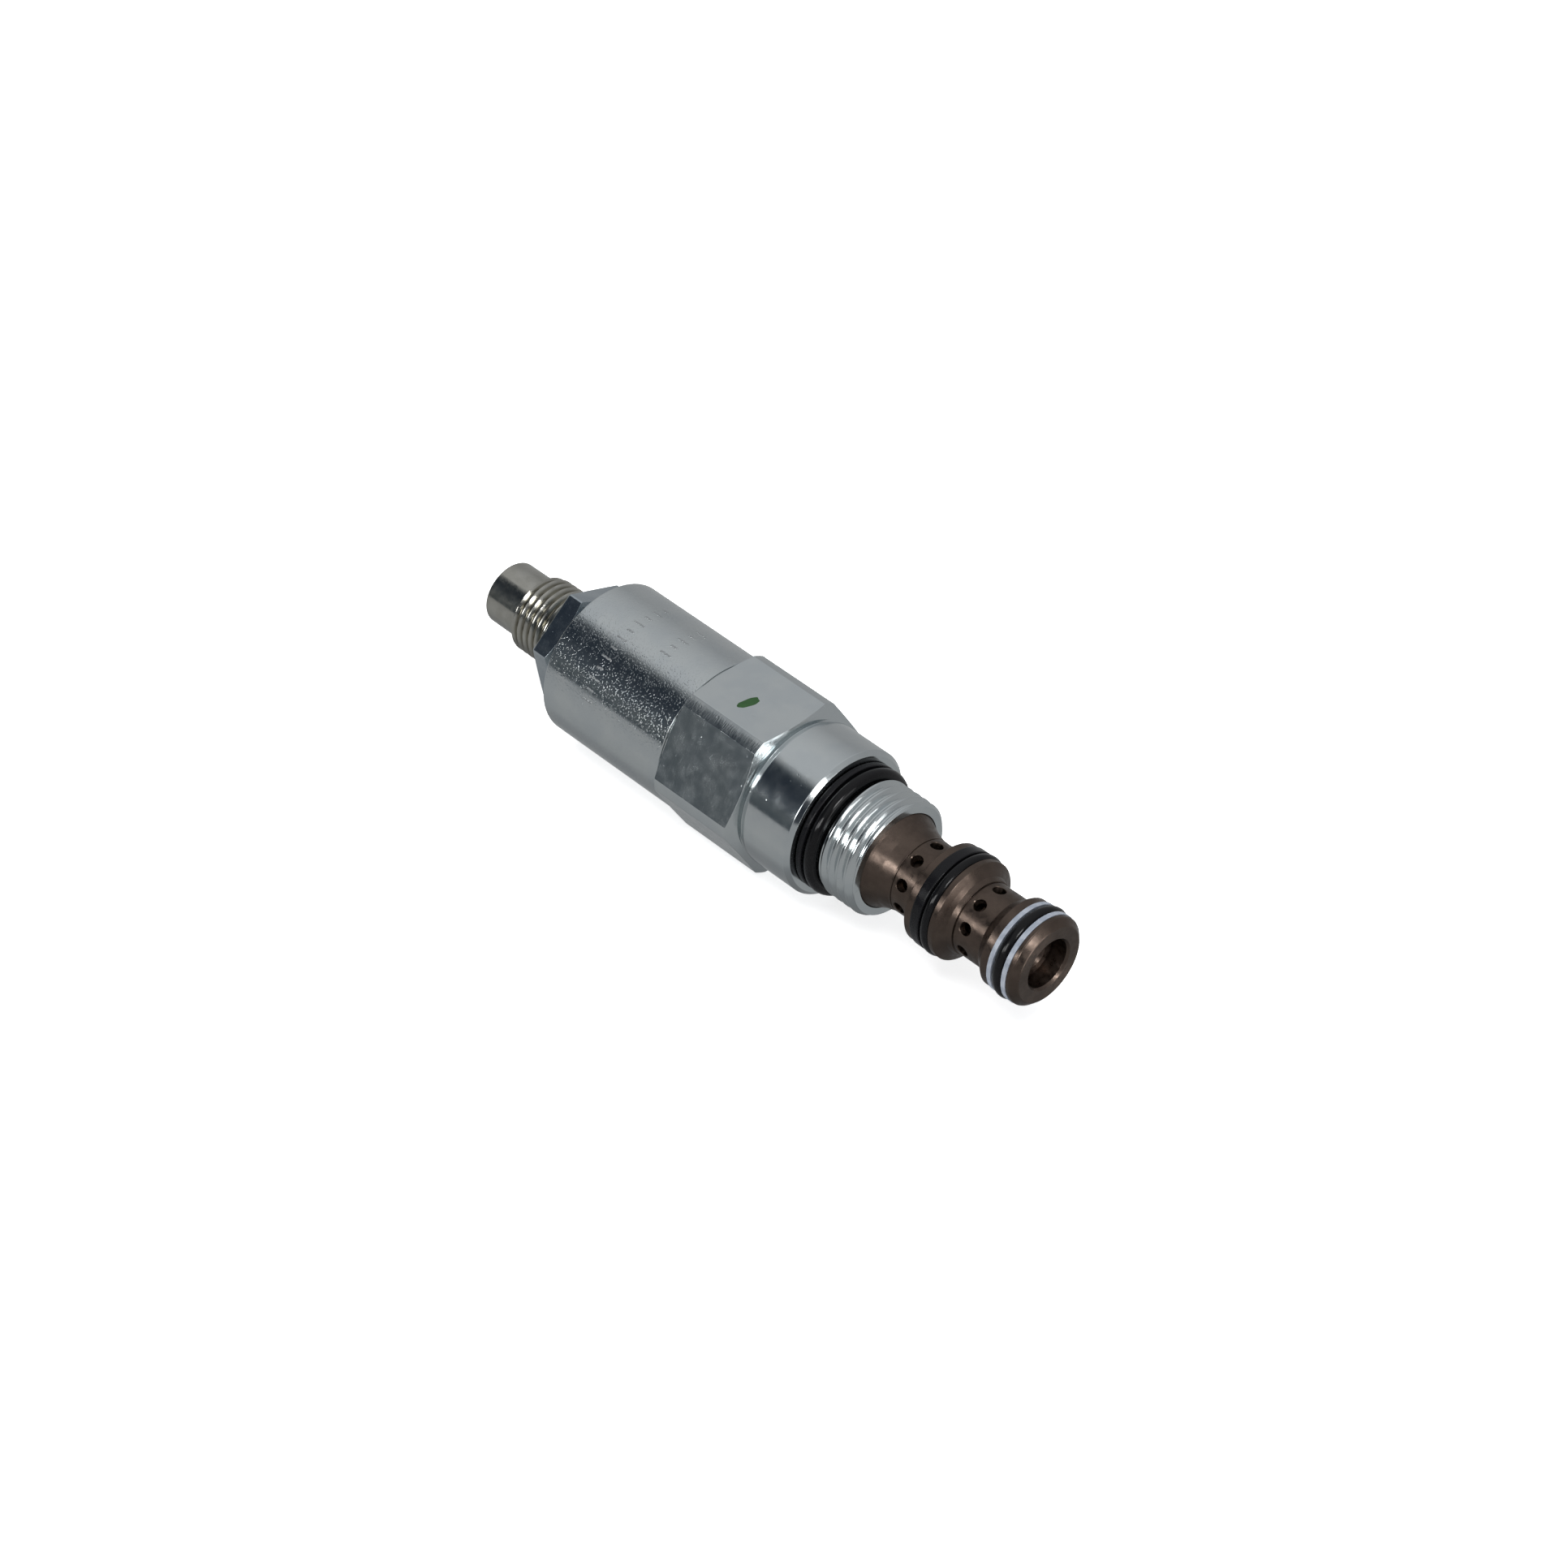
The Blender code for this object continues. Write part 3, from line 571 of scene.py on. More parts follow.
def makeHousing():
    mesh = turnedMesh("plated_housing", housingProfile, evenTurns(192))
    piece = newPiece("plated_housing", mesh, zincHousing)
    standFor(piece, "spring_housing", "valve_body")


makeHousing()
print("housing made")


# ---------- jam nut ----------

nut = dict(halfFlats=8.73, cornerRadius=10.0, firstFlat=39.4, back=-97.6, front=-93.77, bore=6.42,
           frontSlope=0.41, frontCorner=-94.65, backCorner=-97.2)


def nutProfile(turn):
    flat = hexagonRadius(turn, nut["halfFlats"], nut["firstFlat"], nut["cornerRadius"])
    flatFront = nut["frontCorner"] + (nut["cornerRadius"] - flat) * nut["frontSlope"]
    faceRadius = flat - (nut["front"] - flatFront) / nut["frontSlope"]
    flatBack = nut["backCorner"] - (nut["cornerRadius"] - flat) * 0.05
    corners = [
        (nut["back"], nut["bore"] + 0.4, 0.04), (nut["back"], flat - 0.35, 0.04), (flatBack, flat, 0.04),
        (flatFront, flat, 0.05), (nut["front"], faceRadius, 0.06),
        (nut["front"], nut["bore"] + 0.4, 0.04), (nut["front"] - 0.4, nut["bore"], 0),
        (nut["back"] + 0.4, nut["bore"], 0)]
    return softened(corners)


def makeNut():
    edge = math.degrees(math.acos(nut["halfFlats"] / nut["cornerRadius"]))
    edges = [(nut["firstFlat"] + 60 * side + sign * edge) % 360 for side in range(6) for sign in (-1, 1)]
    mesh = turnedMesh("plated_jam_nut", nutProfile, flatTurns(144, edges))
    piece = newPiece("plated_jam_nut", mesh, zincNut)
    standFor(piece, "jam_nut", "jam_nut")


makeNut()
print("jam nut made")


# ---------- adjusting screw ----------

screw = dict(tip=-113.18, tipRadius=5.19, tipFront=-106.5, threadFull=-105.95, crest=6.32, headBack=-86.01,
             headFront=-80.41, headRadius=7.08, socketFlats=5.0, socketDepth=6.0, threadEnd=-87.01,
             undercut=5.72,
             ringBack=-84.05, ringFront=-81.61, ringFloor=5.73)
screwThreadSizes = dict(pitch=1.27, depth=0.56, crest=6.32, start=-106.55, end=-87.0, runIn=0.5, runOut=1.0)


def screwProfile(turn):
    corners = [
        (screw["tip"], 0, 0), (screw["tip"], screw["tipRadius"] - 0.02, 0.32),
        (screw["tipFront"] - 0.25, screw["tipRadius"], 0.25),
        (screw["tipFront"] + 0.1, 5.55, 0.1), (screw["threadFull"], screw["crest"], 0.12),
        (screw["threadEnd"], screw["crest"], 0.1),
        (screw["threadEnd"], screw["undercut"], 0.05), (screw["headBack"], screw["undercut"], 0.05),
        (screw["headBack"], screw["headRadius"], 0.05),
        (screw["ringBack"], screw["headRadius"], 0.04), (screw["ringBack"], screw["ringFloor"], 0.04),
        (screw["ringFront"], screw["ringFloor"], 0.04), (screw["ringFront"], screw["headRadius"], 0.04),
        (screw["headFront"], screw["headRadius"], 0.2), (screw["headFront"], 0, 0)]
    return threadRows(softened(corners, closed=False), screwThreadSizes, 12)


def hexagonBit(flats, length, taper):
    # A hexagon rod with a cone at its mouth, for cutting a socket.
    bm = bmesh.new()
    reach = flats / 2 / math.cos(math.radians(30))
    rings = []
    for station, radius in ((screw["tip"] - 1, reach), (screw["tip"] + length, reach)):
        rings.append([bm.verts.new(axisPoint(station, radius, 60 * side)) for side in range(6)])
    for side in range(6):
        after = (side + 1) % 6
        bm.faces.new((rings[0][side], rings[0][after], rings[1][after], rings[1][side]))
    bm.faces.new(rings[0])
    drillTip = bm.verts.new(axisPoint(screw["tip"] + length + taper, 0, 0))
    for side in range(6):
        bm.faces.new((rings[1][side], rings[1][(side + 1) % 6], drillTip))
    bmesh.ops.recalc_face_normals(bm, faces=bm.faces)
    mesh = bpy.data.meshes.new("socketBit")
    bm.to_mesh(mesh)
    bm.free()
    return mesh


def makeScrew():
    mesh = turnedMesh("adjuster_screw", screwProfile, evenTurns(144), closed=False)
    piece = newPiece("adjuster_screw", mesh, stainless)
    cutThread(piece, stainless, screwThreadSizes)
    bit = newPiece("socket_bit", hexagonBit(screw["socketFlats"], screw["socketDepth"], 1.2), stainless)
    boolean = piece.modifiers.new("socket", "BOOLEAN")
    boolean.operation, boolean.solver, boolean.object = "DIFFERENCE", "EXACT", bit
    bpy.context.view_layer.update()
    plain = bpy.data.meshes.new_from_object(piece.evaluated_get(bpy.context.evaluated_depsgraph_get()))
    piece.modifiers.clear()
    piece.data = plain
    plain.set_sharp_from_angle(angle=math.radians(38))
    bpy.data.objects.remove(bit, do_unlink=True)
    standFor(piece, "adjusting_screw", "adjusting_screw")


makeScrew()
print("adjusting screw made")


# ---------- cage ----------

cage = dict(
    boreRadius=3.95, mouthRadius=4.27, noseRadius=7.14, neckTwo=5.8, midRadius=7.99, neckOne=6.03,
    flangeRadius=7.66, reliefRadius=4.5, shankRadius=6.35, shankGroove=5.0, midFloor=6.6, noseFloor=5.7,
    back=-54.46, flangeBack=-32.46, holeRadius=0.97, holeFirst=23.9, holes=9, rowOne=-23.6, rowTwo=-11.33,
    drillFrom=3.2, edgeBreak=0.13,
)


def cageProfile(turn):
    corners = [
        (0, cage["mouthRadius"], 0.04), (-0.4, cage["boreRadius"], 0.06),
        (-9.83, cage["boreRadius"], 0), (-9.83, cage["reliefRadius"], 0),
        (-12.83, cage["reliefRadius"], 0), (-12.83, cage["boreRadius"], 0),
        (-22.1, cage["boreRadius"], 0), (-22.1, cage["reliefRadius"], 0),
        (-25.1, cage["reliefRadius"], 0), (-25.1, cage["boreRadius"], 0),
        (cage["back"], cage["boreRadius"], 0), (cage["back"], 6.0, 0), (-54.0, cage["shankRadius"], 0),
        (-43.2, cage["shankRadius"], 0), (-43.2, cage["shankGroove"], 0),
        (-41.5, cage["shankGroove"], 0), (-41.5, cage["shankRadius"], 0),
        (cage["flangeBack"], cage["shankRadius"], 0), (cage["flangeBack"], cage["flangeRadius"], 0),
        (-29.55, cage["flangeRadius"], 0.05), (-29.2, 7.45, 0.1), (-27.4, 6.58, 0.9), (-25.5, 6.06, 0.4),
        (-25.22, 6.05, 0.03), (-25.16, 5.9, 0.02), (-25.06, 5.9, 0.02), (-25.0, cage["neckOne"], 0.03),
        (-21.1, cage["neckOne"], 0.3), (-20.6, 7.85, 0.1), (-20.46, cage["midRadius"], 0.04),
        (-19.36, cage["midRadius"], 0.03), (-19.36, cage["midFloor"], 0.05),
        (-15.86, cage["midFloor"], 0.05), (-15.86, cage["midRadius"], 0.05),
        (-14.98, cage["midRadius"], 0.16), (-14.42, 6.95, 0.3), (-13.95, 6.28, 0.25), (-13.3, 6.0, 0.2),
        (-13.14, 5.99, 0.03), (-13.08, 5.68, 0.02), (-12.98, 5.68, 0.02), (-12.92, cage["neckTwo"], 0.03),
        (-8.1, cage["neckTwo"], 0.25), (-6.45, cage["noseRadius"], 0.12),
        (-5.2, cage["noseRadius"], 0.04), (-5.2, cage["noseFloor"], 0.05),
        (-1.58, cage["noseFloor"], 0.05), (-1.58, cage["noseRadius"], 0.05),
        (-1.02, cage["noseRadius"], 0.03), (-0.97, 7.08, 0.02), (-0.86, 7.06, 0.06),
        (-0.08, 6.27, 0.1), (0, 6.1, 0.08)]
    return softened(corners, hold=0.04)


def crossHoleTree():
    # Drills a ring of holes with broken edges through a turned wall.
    tree, source, result = geometryTree("crossHoles", {
        "Count": 9, "Station": 0.0, "Axis Height": axisZ, "Hole Radius": 0.001, "Inner Radius": 0.003,
        "Wall Radius": 0.006, "First Turn": 0.4, "Edge Break": 0.00012})
    given = source.outputs
    reach = calc(tree, "ADD", calc(tree, "SUBTRACT", given["Wall Radius"], given["Inner Radius"]), 0.002)
    middle = calc(tree, "ADD", given["Inner Radius"], calc(tree, "MULTIPLY", reach, 0.5))
    drill = addNode(tree, "GeometryNodeMeshCylinder",
                    {"Vertices": 40, "Radius": given["Hole Radius"], "Depth": reach}).outputs[0]
    lift = addNode(tree, "ShaderNodeCombineXYZ", {2: middle}).outputs[0]
    drill = addNode(tree, "GeometryNodeTransform", {"Geometry": drill, "Translation": lift}).outputs[0]
    edge = given["Edge Break"]
    sink = addNode(tree, "GeometryNodeMeshCone", {
        "Vertices": 44, "Radius Top": calc(tree, "MULTIPLY_ADD", edge, 5.0, given["Hole Radius"]),
        "Radius Bottom": calc(tree, "MULTIPLY_ADD", edge, -2.0, given["Hole Radius"]),
        "Depth": calc(tree, "MULTIPLY", edge, 7.0)}).outputs[0]
    foot = calc(tree, "MULTIPLY_ADD", edge, -3.0, given["Wall Radius"])
    low = addNode(tree, "ShaderNodeCombineXYZ", {2: foot}).outputs[0]
    sink = addNode(tree, "GeometryNodeTransform", {"Geometry": sink, "Translation": low}).outputs[0]
    start = addNode(tree, "ShaderNodeCombineXYZ", {0: given["Station"], 2: given["Axis Height"]}).outputs[0]
    spots = addNode(tree, "GeometryNodeMeshLine", {"Count": given["Count"], "Start Location": start,
                                                   "Offset": (0, 0, 0)}).outputs[0]
    index = addNode(tree, "GeometryNodeInputIndex").outputs[0]
    step = calc(tree, "DIVIDE", math.tau, given["Count"])
    turn = calc(tree, "MULTIPLY_ADD", index, step, given["First Turn"])
    facing = addNode(tree, "ShaderNodeCombineXYZ", {0: turn}).outputs[0]
    cut = addNode(tree, "GeometryNodeMeshBoolean", operation="DIFFERENCE", solver="EXACT")
    tree.links.new(given["Geometry"], cut.inputs["Mesh 1"])
    for tool in (drill, sink):
        row = addNode(tree, "GeometryNodeInstanceOnPoints",
                      {"Points": spots, "Instance": tool, "Rotation": facing})
        solid = addNode(tree, "GeometryNodeRealizeInstances", {0: row.outputs[0]}).outputs[0]
        tree.links.new(solid, cut.inputs["Mesh 2"])
    endTree(tree, source, cut.outputs[0], result)
    return tree


crossHoles = crossHoleTree()


def makeCage():
    piece = newPiece("browned_cage", turnedMesh("browned_cage", cageProfile, evenTurns(180)), browned)
    for station, wall in ((cage["rowOne"], cage["neckOne"]), (cage["rowTwo"], cage["neckTwo"])):
        runTree(piece, crossHoles, browned, {
            "Count": cage["holes"], "Station": noseX + station * mm, "Axis Height": axisZ,
            "Hole Radius": cage["holeRadius"] * mm, "Inner Radius": cage["drillFrom"] * mm,
            "Wall Radius": wall * mm,
            "First Turn": math.radians(cage["holeFirst"]), "Edge Break": cage["edgeBreak"] * mm})
    piece.data.shade_smooth()
    piece.data.set_sharp_from_angle(angle=math.radians(32))
    standFor(piece, "cage", "valve_body")


makeCage()
print("cage made")


# ---------- spool ----------

spool = dict(front=-2.9, radius=3.88, bore=1.95, boreDepth=16.0, back=-54.76,
             waist=3.1, waistBack=-21.11, waistFront=-11.75)


def spoolProfile(turn):
    front = spool["front"]
    corners = [
        (front - spool["boreDepth"] - 1.0, 0, 0), (front - spool["boreDepth"], spool["bore"], 0.1),
        (front - 0.5, spool["bore"], 0.05), (front, spool["bore"] + 0.35, 0.05),
        (front, spool["radius"] - 0.35, 0.06), (front - 0.35, spool["radius"], 0.08),
        (spool["waistFront"], spool["radius"], 0.05), (spool["waistFront"], spool["waist"], 0.1),
        (spool["waistBack"], spool["waist"], 0.1), (spool["waistBack"], spool["radius"], 0.05),
        (spool["back"] + 0.3, spool["radius"], 0.05), (spool["back"], spool["radius"] - 0.3, 0.05),
        (spool["back"], 0, 0)]
    return softened(corners, closed=False)


spoolMesh = turnedMesh("ground_spool", spoolProfile, evenTurns(120), closed=False)
spoolPiece = newPiece("ground_spool", spoolMesh, browned)
standFor(spoolPiece, "spool", "spool")


# ---------- seals ----------

seals = {
    "port_ring_backup": dict(node="port_backup_ring", kind="flat",
                             back=-39.95, front=-38.95, inner=8.25, outer=10.38),
    "port_ring_seal": dict(node="port_oring", kind="round",
                           back=-38.9, front=-36.88, inner=8.22, outer=10.42),
    "mid_ring_backup": dict(node="mid_backup_ring", kind="flat",
                            back=-19.32, front=-17.62, inner=6.65, outer=8.16),
    "mid_ring_seal": dict(node="mid_oring", kind="round",
                          back=-17.56, front=-15.9, inner=6.62, outer=8.27),
    "nose_ring_back": dict(node="nose_rear_backup_ring", kind="white",
                           back=-5.16, front=-4.4, inner=5.75, outer=7.24),
    "nose_ring_seal": dict(node="nose_oring", kind="round",
                           back=-4.34, front=-2.52, inner=5.74, outer=7.46),
    "nose_ring_front": dict(node="nose_front_backup_ring", kind="white",
                            back=-2.42, front=-1.63, inner=5.75, outer=7.24),
}


def ringProfile(ring):
    middle, half = (ring["back"] + ring["front"]) / 2, (ring["front"] - ring["back"]) / 2
    centre, tall = (ring["inner"] + ring["outer"]) / 2, (ring["outer"] - ring["inner"]) / 2
    if ring["kind"] == "round":
        loop = [(math.cos(a * math.tau / 28), math.sin(a * math.tau / 28)) for a in range(28)]
        section = [(middle + half * x, centre + tall * y) for x, y in loop]
        return lambda turn: section
    rounding = 0.22 if ring["kind"] == "flat" else 0.07
    wave = 0.0 if ring["kind"] == "flat" else 0.035

    def profile(turn):
        shift = wave * math.sin(math.radians(turn * 2 + 40)) + wave * 0.5 * math.sin(math.radians(turn * 5))
        back, front = ring["back"] + shift * 0.4, ring["front"] + shift * 0.4
        corners = [(back, ring["inner"], rounding), (back, ring["outer"], rounding),
                   (front, ring["outer"], rounding), (front, ring["inner"], rounding)]
        return softened(corners, hold=0.03)
    return profile


sealLooks = {
    "round": (rubber, "black_rubber"), "flat": (backupRubber, "black_rubber"), "white": (whiteRing,
                                                                                         "white_ptfe"),
}
for sealName, ring in seals.items():
    look, slotName = sealLooks[ring["kind"]]
    sealPiece = newPiece(sealName, turnedMesh(sealName, ringProfile(ring), evenTurns(168)), look)
    standFor(sealPiece, ring["node"], "valve_body")
print("seals made:", len(seals))


# ---------- paint mark on the top flat ----------

paintMark = dict(station=-58.62, side=-1.65, long=3.5, wide=1.55, thick=0.03, tilt=-15.5)


def makePaintMark():
    # A brushed dab: a rounded bar with an uneven outline and thin edges.
    bm = bmesh.new()
    rings = []
    count = 48
    for inset, lift in ((0.0, -0.01), (0.0, 0.006), (0.1, 1.0)):
        ring = []
        for step in range(count):
            angle = math.tau * step / count
            ragged = 1 + 0.05 * math.sin(3 * angle + 0.6) + 0.03 * math.sin(7 * angle)
            cosine, sine = math.cos(angle), math.sin(angle)
            across = math.copysign(abs(cosine) ** 0.75, cosine) * (paintMark["wide"] / 2 - inset) * ragged
            along = math.copysign(abs(sine) ** 0.8, sine) * (paintMark["long"] / 2 - inset) * ragged
            spot = Matrix.Rotation(math.radians(paintMark["tilt"]), 2) @ Vector((across, along))
            height = body["halfFlats"] + lift * paintMark["thick"]
            ring.append(bm.verts.new((noseX + (paintMark["station"] + spot.x) * mm,
                                      (paintMark["side"] + spot.y) * mm, axisZ + height * mm)))
        rings.append(ring)
    for low, high in zip(rings, rings[1:]):
        for step in range(count):
            after = (step + 1) % count
            bm.faces.new((low[step], low[after], high[after], high[step]))
    bm.faces.new(rings[0])
    bm.faces.new(rings[-1])
    bmesh.ops.recalc_face_normals(bm, faces=bm.faces)
    mesh = bpy.data.meshes.new("paint_mark")
    bm.to_mesh(mesh)
    bm.free()
    piece = newPiece("paint_mark", mesh, greenPaint)
    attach(piece, "valve_body")


makePaintMark()


# ---------- punched tick marks on the housing ----------

tickRows = [
    dict(station=-82.6, strokes=12, firstTurn=70),
    dict(station=-75.2, strokes=5, firstTurn=12),
]
tick = dict(step=-8.2, dots=9, length=2.1, dotSize=0.17, sunk=0.005)


def tickTree():
    # Rows of punched dots, each row a short stroke along the axis.
    tree, source, result = geometryTree("punchedTicks", {
        "Strokes": 9, "Dots": 10, "Station": 0.0, "Length": 0.002, "First Turn": 1.0, "Turn Step": -0.2,
        "Surface Radius": 0.0126, "Dot Size": 0.00014, "Axis Height": axisZ})
    given = source.outputs
    total = calc(tree, "MULTIPLY", given["Strokes"], given["Dots"])
    spots = addNode(tree, "GeometryNodeMeshLine", {"Count": total, "Offset": (0, 0, 0)}).outputs[0]
    index = addNode(tree, "GeometryNodeInputIndex").outputs[0]
    stroke = calc(tree, "FLOOR", calc(tree, "DIVIDE", calc(tree, "ADD", index, 0.5), given["Dots"]))
    dot = calc(tree, "SUBTRACT", index, calc(tree, "MULTIPLY", stroke, given["Dots"]))
    share = calc(tree, "SUBTRACT", calc(tree, "DIVIDE", calc(tree, "ADD", dot, 0.5), given["Dots"]), 0.5)
    jitter = addNode(tree, "FunctionNodeRandomValue", {"Seed": 7}, data_type="FLOAT")
    jitter.inputs[2].default_value, jitter.inputs[3].default_value = -0.00004, 0.00004
    odd = calc(tree, "FRACT", calc(tree, "MULTIPLY", stroke, 0.5))
    shortened = calc(tree, "SUBTRACT", 1.0, calc(tree, "MULTIPLY", odd, 0.8))
    length = calc(tree, "MULTIPLY", given["Length"], shortened)
    along = calc(tree, "ADD", calc(tree, "MULTIPLY_ADD", share, length, given["Station"]), jitter.outputs[1])
    turn = calc(tree, "MULTIPLY_ADD", stroke, given["Turn Step"], given["First Turn"])
    wobble = calc(tree, "MULTIPLY_ADD", jitter.outputs[1], 120.0, turn)
    surface = given["Surface Radius"]
    side = calc(tree, "MULTIPLY", calc(tree, "SINE", wobble), calc(tree, "MULTIPLY", surface, -1.0))
    rise = calc(tree, "MULTIPLY_ADD", calc(tree, "COSINE", wobble), surface, given["Axis Height"])
    place = addNode(tree, "ShaderNodeCombineXYZ", {0: along, 1: side, 2: rise}).outputs[0]
    spots = addNode(tree, "GeometryNodeSetPosition", {"Geometry": spots, "Position": place}).outputs[0]
    bead = addNode(tree, "GeometryNodeMeshUVSphere",
                   {"Segments": 10, "Rings": 6, "Radius": given["Dot Size"]}).outputs[0]
    facing = addNode(tree, "ShaderNodeCombineXYZ", {0: wobble}).outputs[0]
    beads = addNode(tree, "GeometryNodeInstanceOnPoints", {
        "Points": spots, "Instance": bead, "Rotation": facing, "Scale": (1, 1, 0.3)}).outputs[0]
    smooth = addNode(tree, "GeometryNodeSetShadeSmooth", {0: beads}).outputs[0]
    endTree(tree, source, smooth, result)
    return tree


punchedTicks = tickTree()
for number, row in enumerate(tickRows):
    ticks = newPiece("punched_ticks_%d" % (number + 1), bpy.data.meshes.new("ticks"), punched)
    runTree(ticks, punchedTicks, punched, {
        "Strokes": row["strokes"], "Dots": tick["dots"], "Station": noseX + row["station"] * mm,
        "Length": tick["length"] * mm, "First Turn": math.radians(row["firstTurn"]),
        "Turn Step": math.radians(tick["step"]), "Surface Radius": (housing["radius"] - tick["sunk"]) * mm,
        "Dot Size": tick["dotSize"] * mm, "Axis Height": axisZ})
    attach(ticks, "valve_body")
print("marks made")


# ---------- pieces inside, kept from the frame ----------

insideLooks = {
    "lower_spring_seat": groundSteel, "upper_spring_seat": groundSteel, "spring_shim": groundSteel,
    "main_spring": springSteel, "housing_oring": rubber, "cage_oring": rubber, "adjuster_oring": rubber,
    "adjuster_backup_ring": whiteRing,
}
for nodeName, look in insideLooks.items():
    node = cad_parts[nodeName]
    for place in node.material_slots:
        place.material = look


# ---------- studio ----------

studio = dict(
    floor=(0.9, 0.9, 0.9), floorGlow=0.7, fillPower=28.0,
    sky=[(0.0, (0.2, 0.205, 0.21)), (0.09, (0.25, 0.258, 0.265)), (0.13, (0.335, 0.345, 0.35)),
         (0.25, (0.385, 0.392, 0.395)), (0.5, (0.365, 0.37, 0.375)), (0.64, (0.345, 0.352, 0.36)),
         (0.83, (0.485, 0.495, 0.505)), (0.915, (0.555, 0.565, 0.575)), (1.0, (0.57, 0.58, 0.59))],
    darkCard=[(0.0, (0.06, 0.072, 0.082)), (0.14, (0.098, 0.11, 0.118)), (0.27, (0.062, 0.074, 0.088)),
              (0.5, (0.026, 0.034, 0.046)), (0.76, (0.024, 0.032, 0.042)), (0.85, (0.1, 0.11, 0.12)),
              (0.92, (0.28, 0.29, 0.3)), (1.0, (0.46, 0.47, 0.48))],
    darkPlace=(-0.37, -0.3, 0.37), darkWidth=0.62, darkHeight=0.74,
    lights={
        "side_card": dict(azimuth=8, elevation=0, distance=0.62, width=32, height=44, brightness=2.4),
        "high_card": dict(azimuth=-7, elevation=34, distance=0.6, width=15, height=14, brightness=12.0),
        "front_card": dict(azimuth=-80, elevation=32, distance=0.55, width=26, height=16, brightness=7.0),
        "back_card": dict(azimuth=-108, elevation=25, distance=0.4, width=14, height=12, brightness=8.0),
    },
    lowDark=dict(azimuth=-31, elevation=15, distance=0.58, width=0.2, height=0.24, tone=(0.03, 0.035, 0.045)),
    overheadPlace=(0.1, -0.1, 1.5), overheadSize=1.6,
)
view = dict(
    sensor=36.0, lens=97.61, right=(0.6945, 0.7195, 0.0), up=(-0.4818, 0.4651, 0.7426),
    target=(0.00398, -0.00037, 0.01262), distance=0.61837,
)


def directionOf(azimuth, elevation):
    turn, rise = math.radians(azimuth), math.radians(elevation)
    return Vector((math.cos(turn) * math.cos(rise), math.sin(turn) * math.cos(rise), math.sin(rise)))


def plainCard(name, centre, towards, width, height, stops):
    # A glowing or black card that only reflections see. stops run from its foot to its top.
    mesh = bpy.data.meshes.new(name)
    w, h = width / 2, height / 2
    mesh.from_pydata([(-w, -h, 0), (w, -h, 0), (w, h, 0), (-w, h, 0)], [], [(0, 1, 2, 3)])
    material = bpy.data.materials.new(name)
    material.use_nodes = True
    tree = material.node_tree
    tree.nodes.clear()
    place = addNode(tree, "ShaderNodeTexCoord").outputs["Object"]
    up = addNode(tree, "ShaderNodeSeparateXYZ", {0: place}).outputs[1]
    strength = max(max(colour) for spot, colour in stops)
    stops = [(spot, tuple(part / strength for part in colour)) for spot, colour in stops]
    tone = colourStops(tree, ramp(tree, up, -h, h, kind="LINEAR"), stops)
    glow = addNode(tree, "ShaderNodeEmission", {"Color": tone, "Strength": strength})
    out = addNode(tree, "ShaderNodeOutputMaterial")
    tree.links.new(glow.outputs[0], out.inputs[0])
    mesh.materials.append(material)
    card = bpy.data.objects.new(name, mesh)
    bpy.context.scene.collection.objects.link(card)
    card.location = centre
    card.rotation_euler = (Vector(towards) - Vector(centre)).to_track_quat("Z", "Y").to_euler()
    card.visible_camera = card.visible_diffuse = card.visible_shadow = card.visible_transmission = False


def lightCard(name, azimuth, elevation, distance, width, height, brightness):
    # A light card placed by its direction from the middle of the valve, sized in degrees.
    direction = directionOf(azimuth, elevation)
    middle = Vector((0.01, 0, axisZ))
    size = [2 * distance * math.tan(math.radians(angle / 2)) for angle in (width, height)]
    tone = (brightness, brightness, brightness)
    plainCard(name, middle + direction * distance, middle, *size, [(0.0, tone), (1.0, tone)])


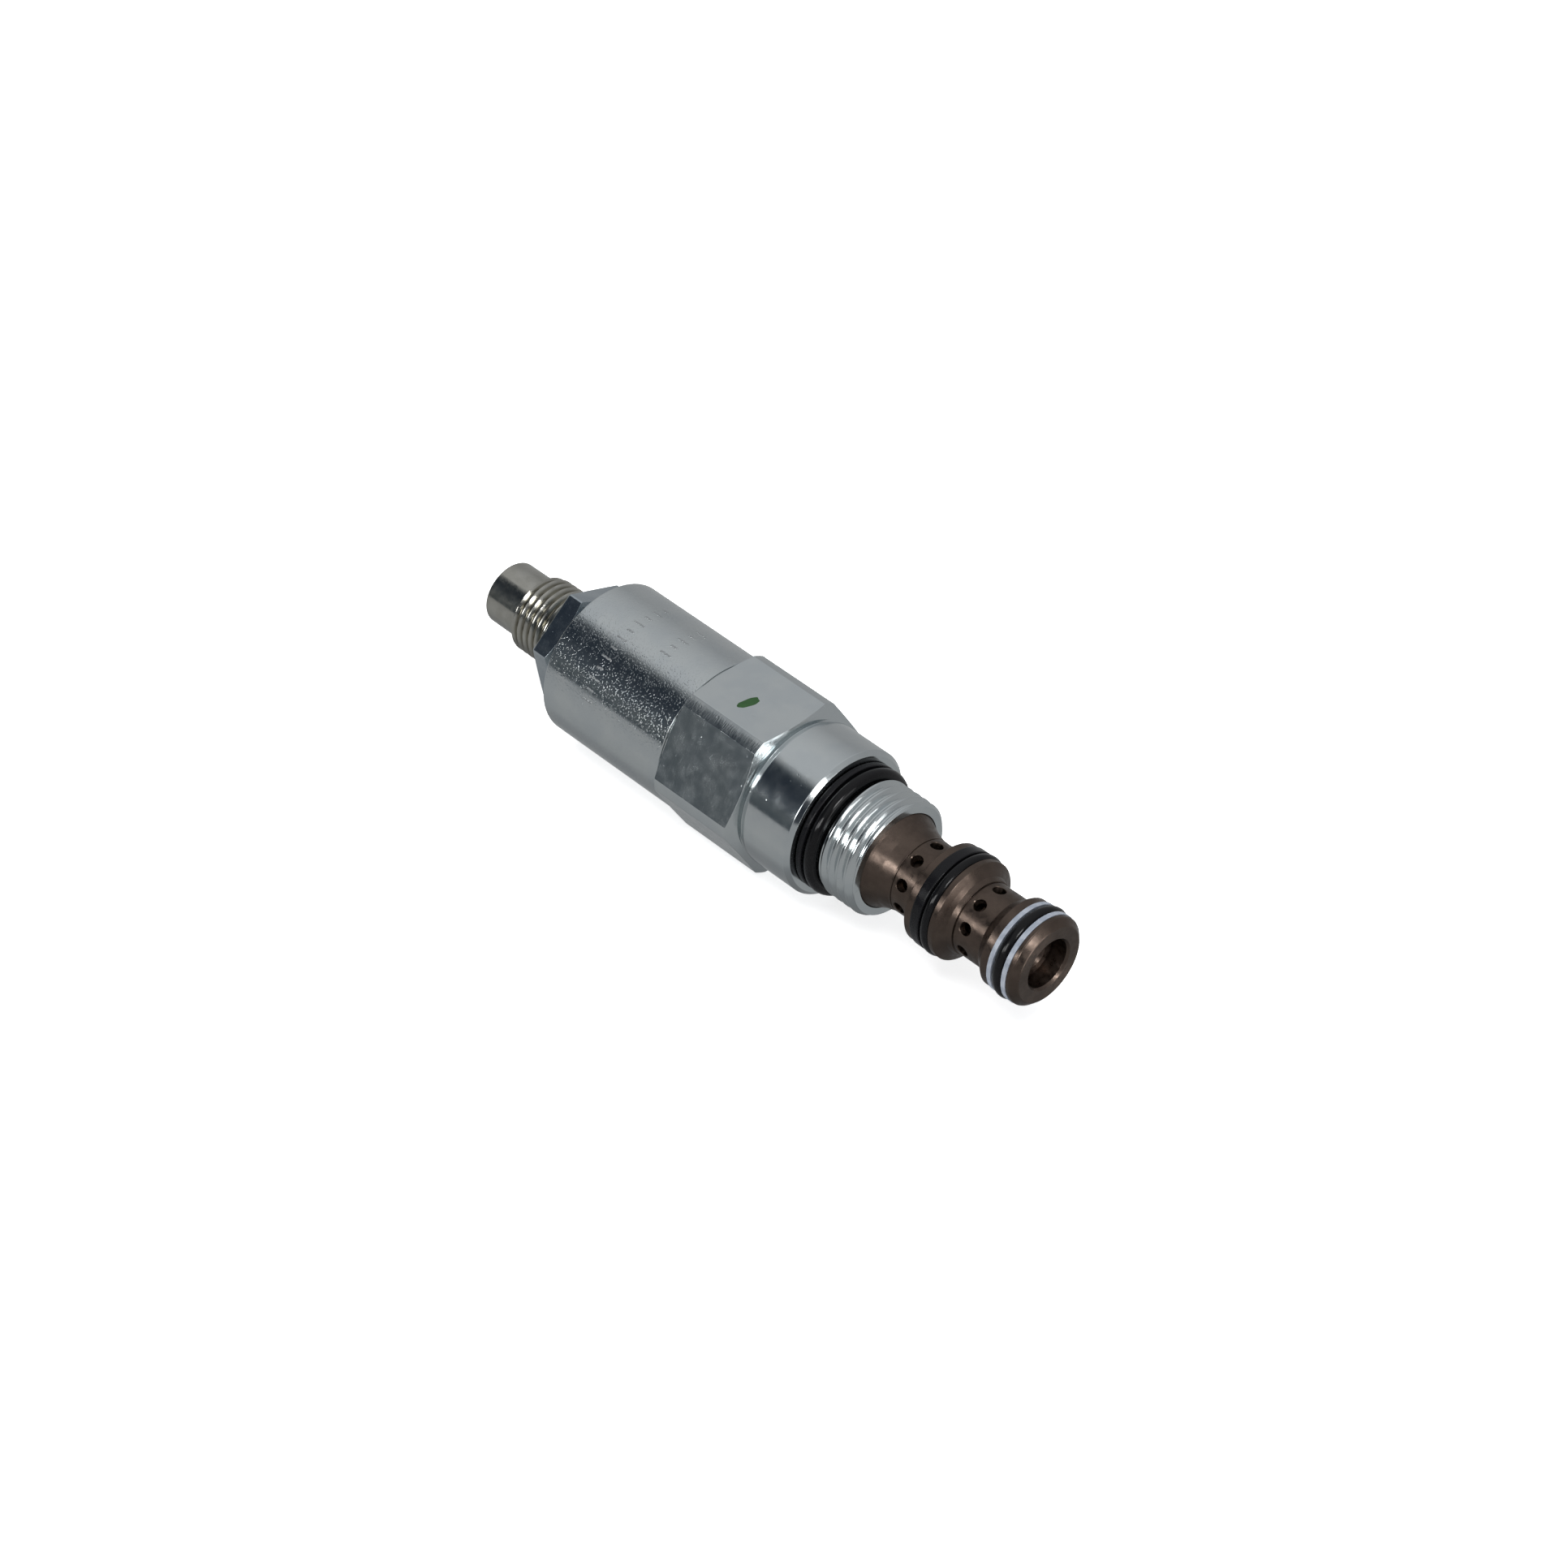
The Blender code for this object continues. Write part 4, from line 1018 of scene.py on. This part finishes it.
def makeStudio():
    scene = bpy.context.scene
    scene.view_settings.view_transform = "Standard"
    world = bpy.data.worlds.new("studio")
    scene.world = world
    world.use_nodes = True
    tree = world.node_tree
    direction = addNode(tree, "ShaderNodeTexCoord").outputs["Generated"]
    up = addNode(tree, "ShaderNodeSeparateXYZ", {0: direction}).outputs[2]
    sky = colourStops(tree, calc(tree, "MULTIPLY_ADD", up, 0.5, 0.5), studio["sky"])
    tree.links.new(sky, tree.nodes["Background"].inputs[0])

    mesh = bpy.data.meshes.new("floor")
    mesh.from_pydata([(-3, -3, 0), (3, -3, 0), (3, 3, 0), (-3, 3, 0)], [], [(0, 1, 2, 3)])
    finish = dict(colour=studio["floor"], roughness=0.9)
    floorMaterial, tree, shader = startMaterial("pale_floor", finish, 0.0)
    shader.inputs["Specular IOR Level"].default_value = 0.0
    shader.inputs["Emission Color"].default_value = (1, 1, 1, 1)
    shader.inputs["Emission Strength"].default_value = studio["floorGlow"]
    mesh.materials.append(floorMaterial)
    floor = bpy.data.objects.new("floor", mesh)
    scene.collection.objects.link(floor)
    floor.visible_glossy = False

    light = bpy.data.lights.new("overhead", "AREA")
    light.shape, light.size, light.energy = "DISK", studio["overheadSize"], studio["fillPower"]
    overhead = bpy.data.objects.new("overhead", light)
    overhead.location = studio["overheadPlace"]
    overhead.visible_glossy = False
    scene.collection.objects.link(overhead)

    place = studio["darkPlace"]
    plainCard("dark_card", place, (0.0, 0.0, place[2]), studio["darkWidth"], studio["darkHeight"],
              studio["darkCard"])
    for name, card in studio["lights"].items():
        lightCard(name, **card)
    card = studio["lowDark"]
    spot = directionOf(card["azimuth"], card["elevation"]) * card["distance"]
    stops = [(0.0, card["tone"]), (1.0, card["tone"])]
    plainCard("low_dark_card", spot, (0, 0, axisZ), card["width"], card["height"], stops)


def makeCamera():
    lensData = bpy.data.cameras.new("camera")
    lensData.sensor_width, lensData.lens = view["sensor"], view["lens"]
    lensData.clip_start, lensData.clip_end = 0.01, 20.0
    camera = bpy.data.objects.new("camera", lensData)
    bpy.context.scene.collection.objects.link(camera)
    right, up = Vector(view["right"]), Vector(view["up"])
    back = right.cross(up).normalized()
    up = back.cross(right).normalized()
    turned = Matrix((right.normalized(), up, back)).transposed().to_4x4()
    target = Vector(view["target"])
    camera.matrix_world = Matrix.Translation(target + back * view["distance"]) @ turned
    bpy.context.scene.camera = camera


makeStudio()
makeCamera()
print("studio made")
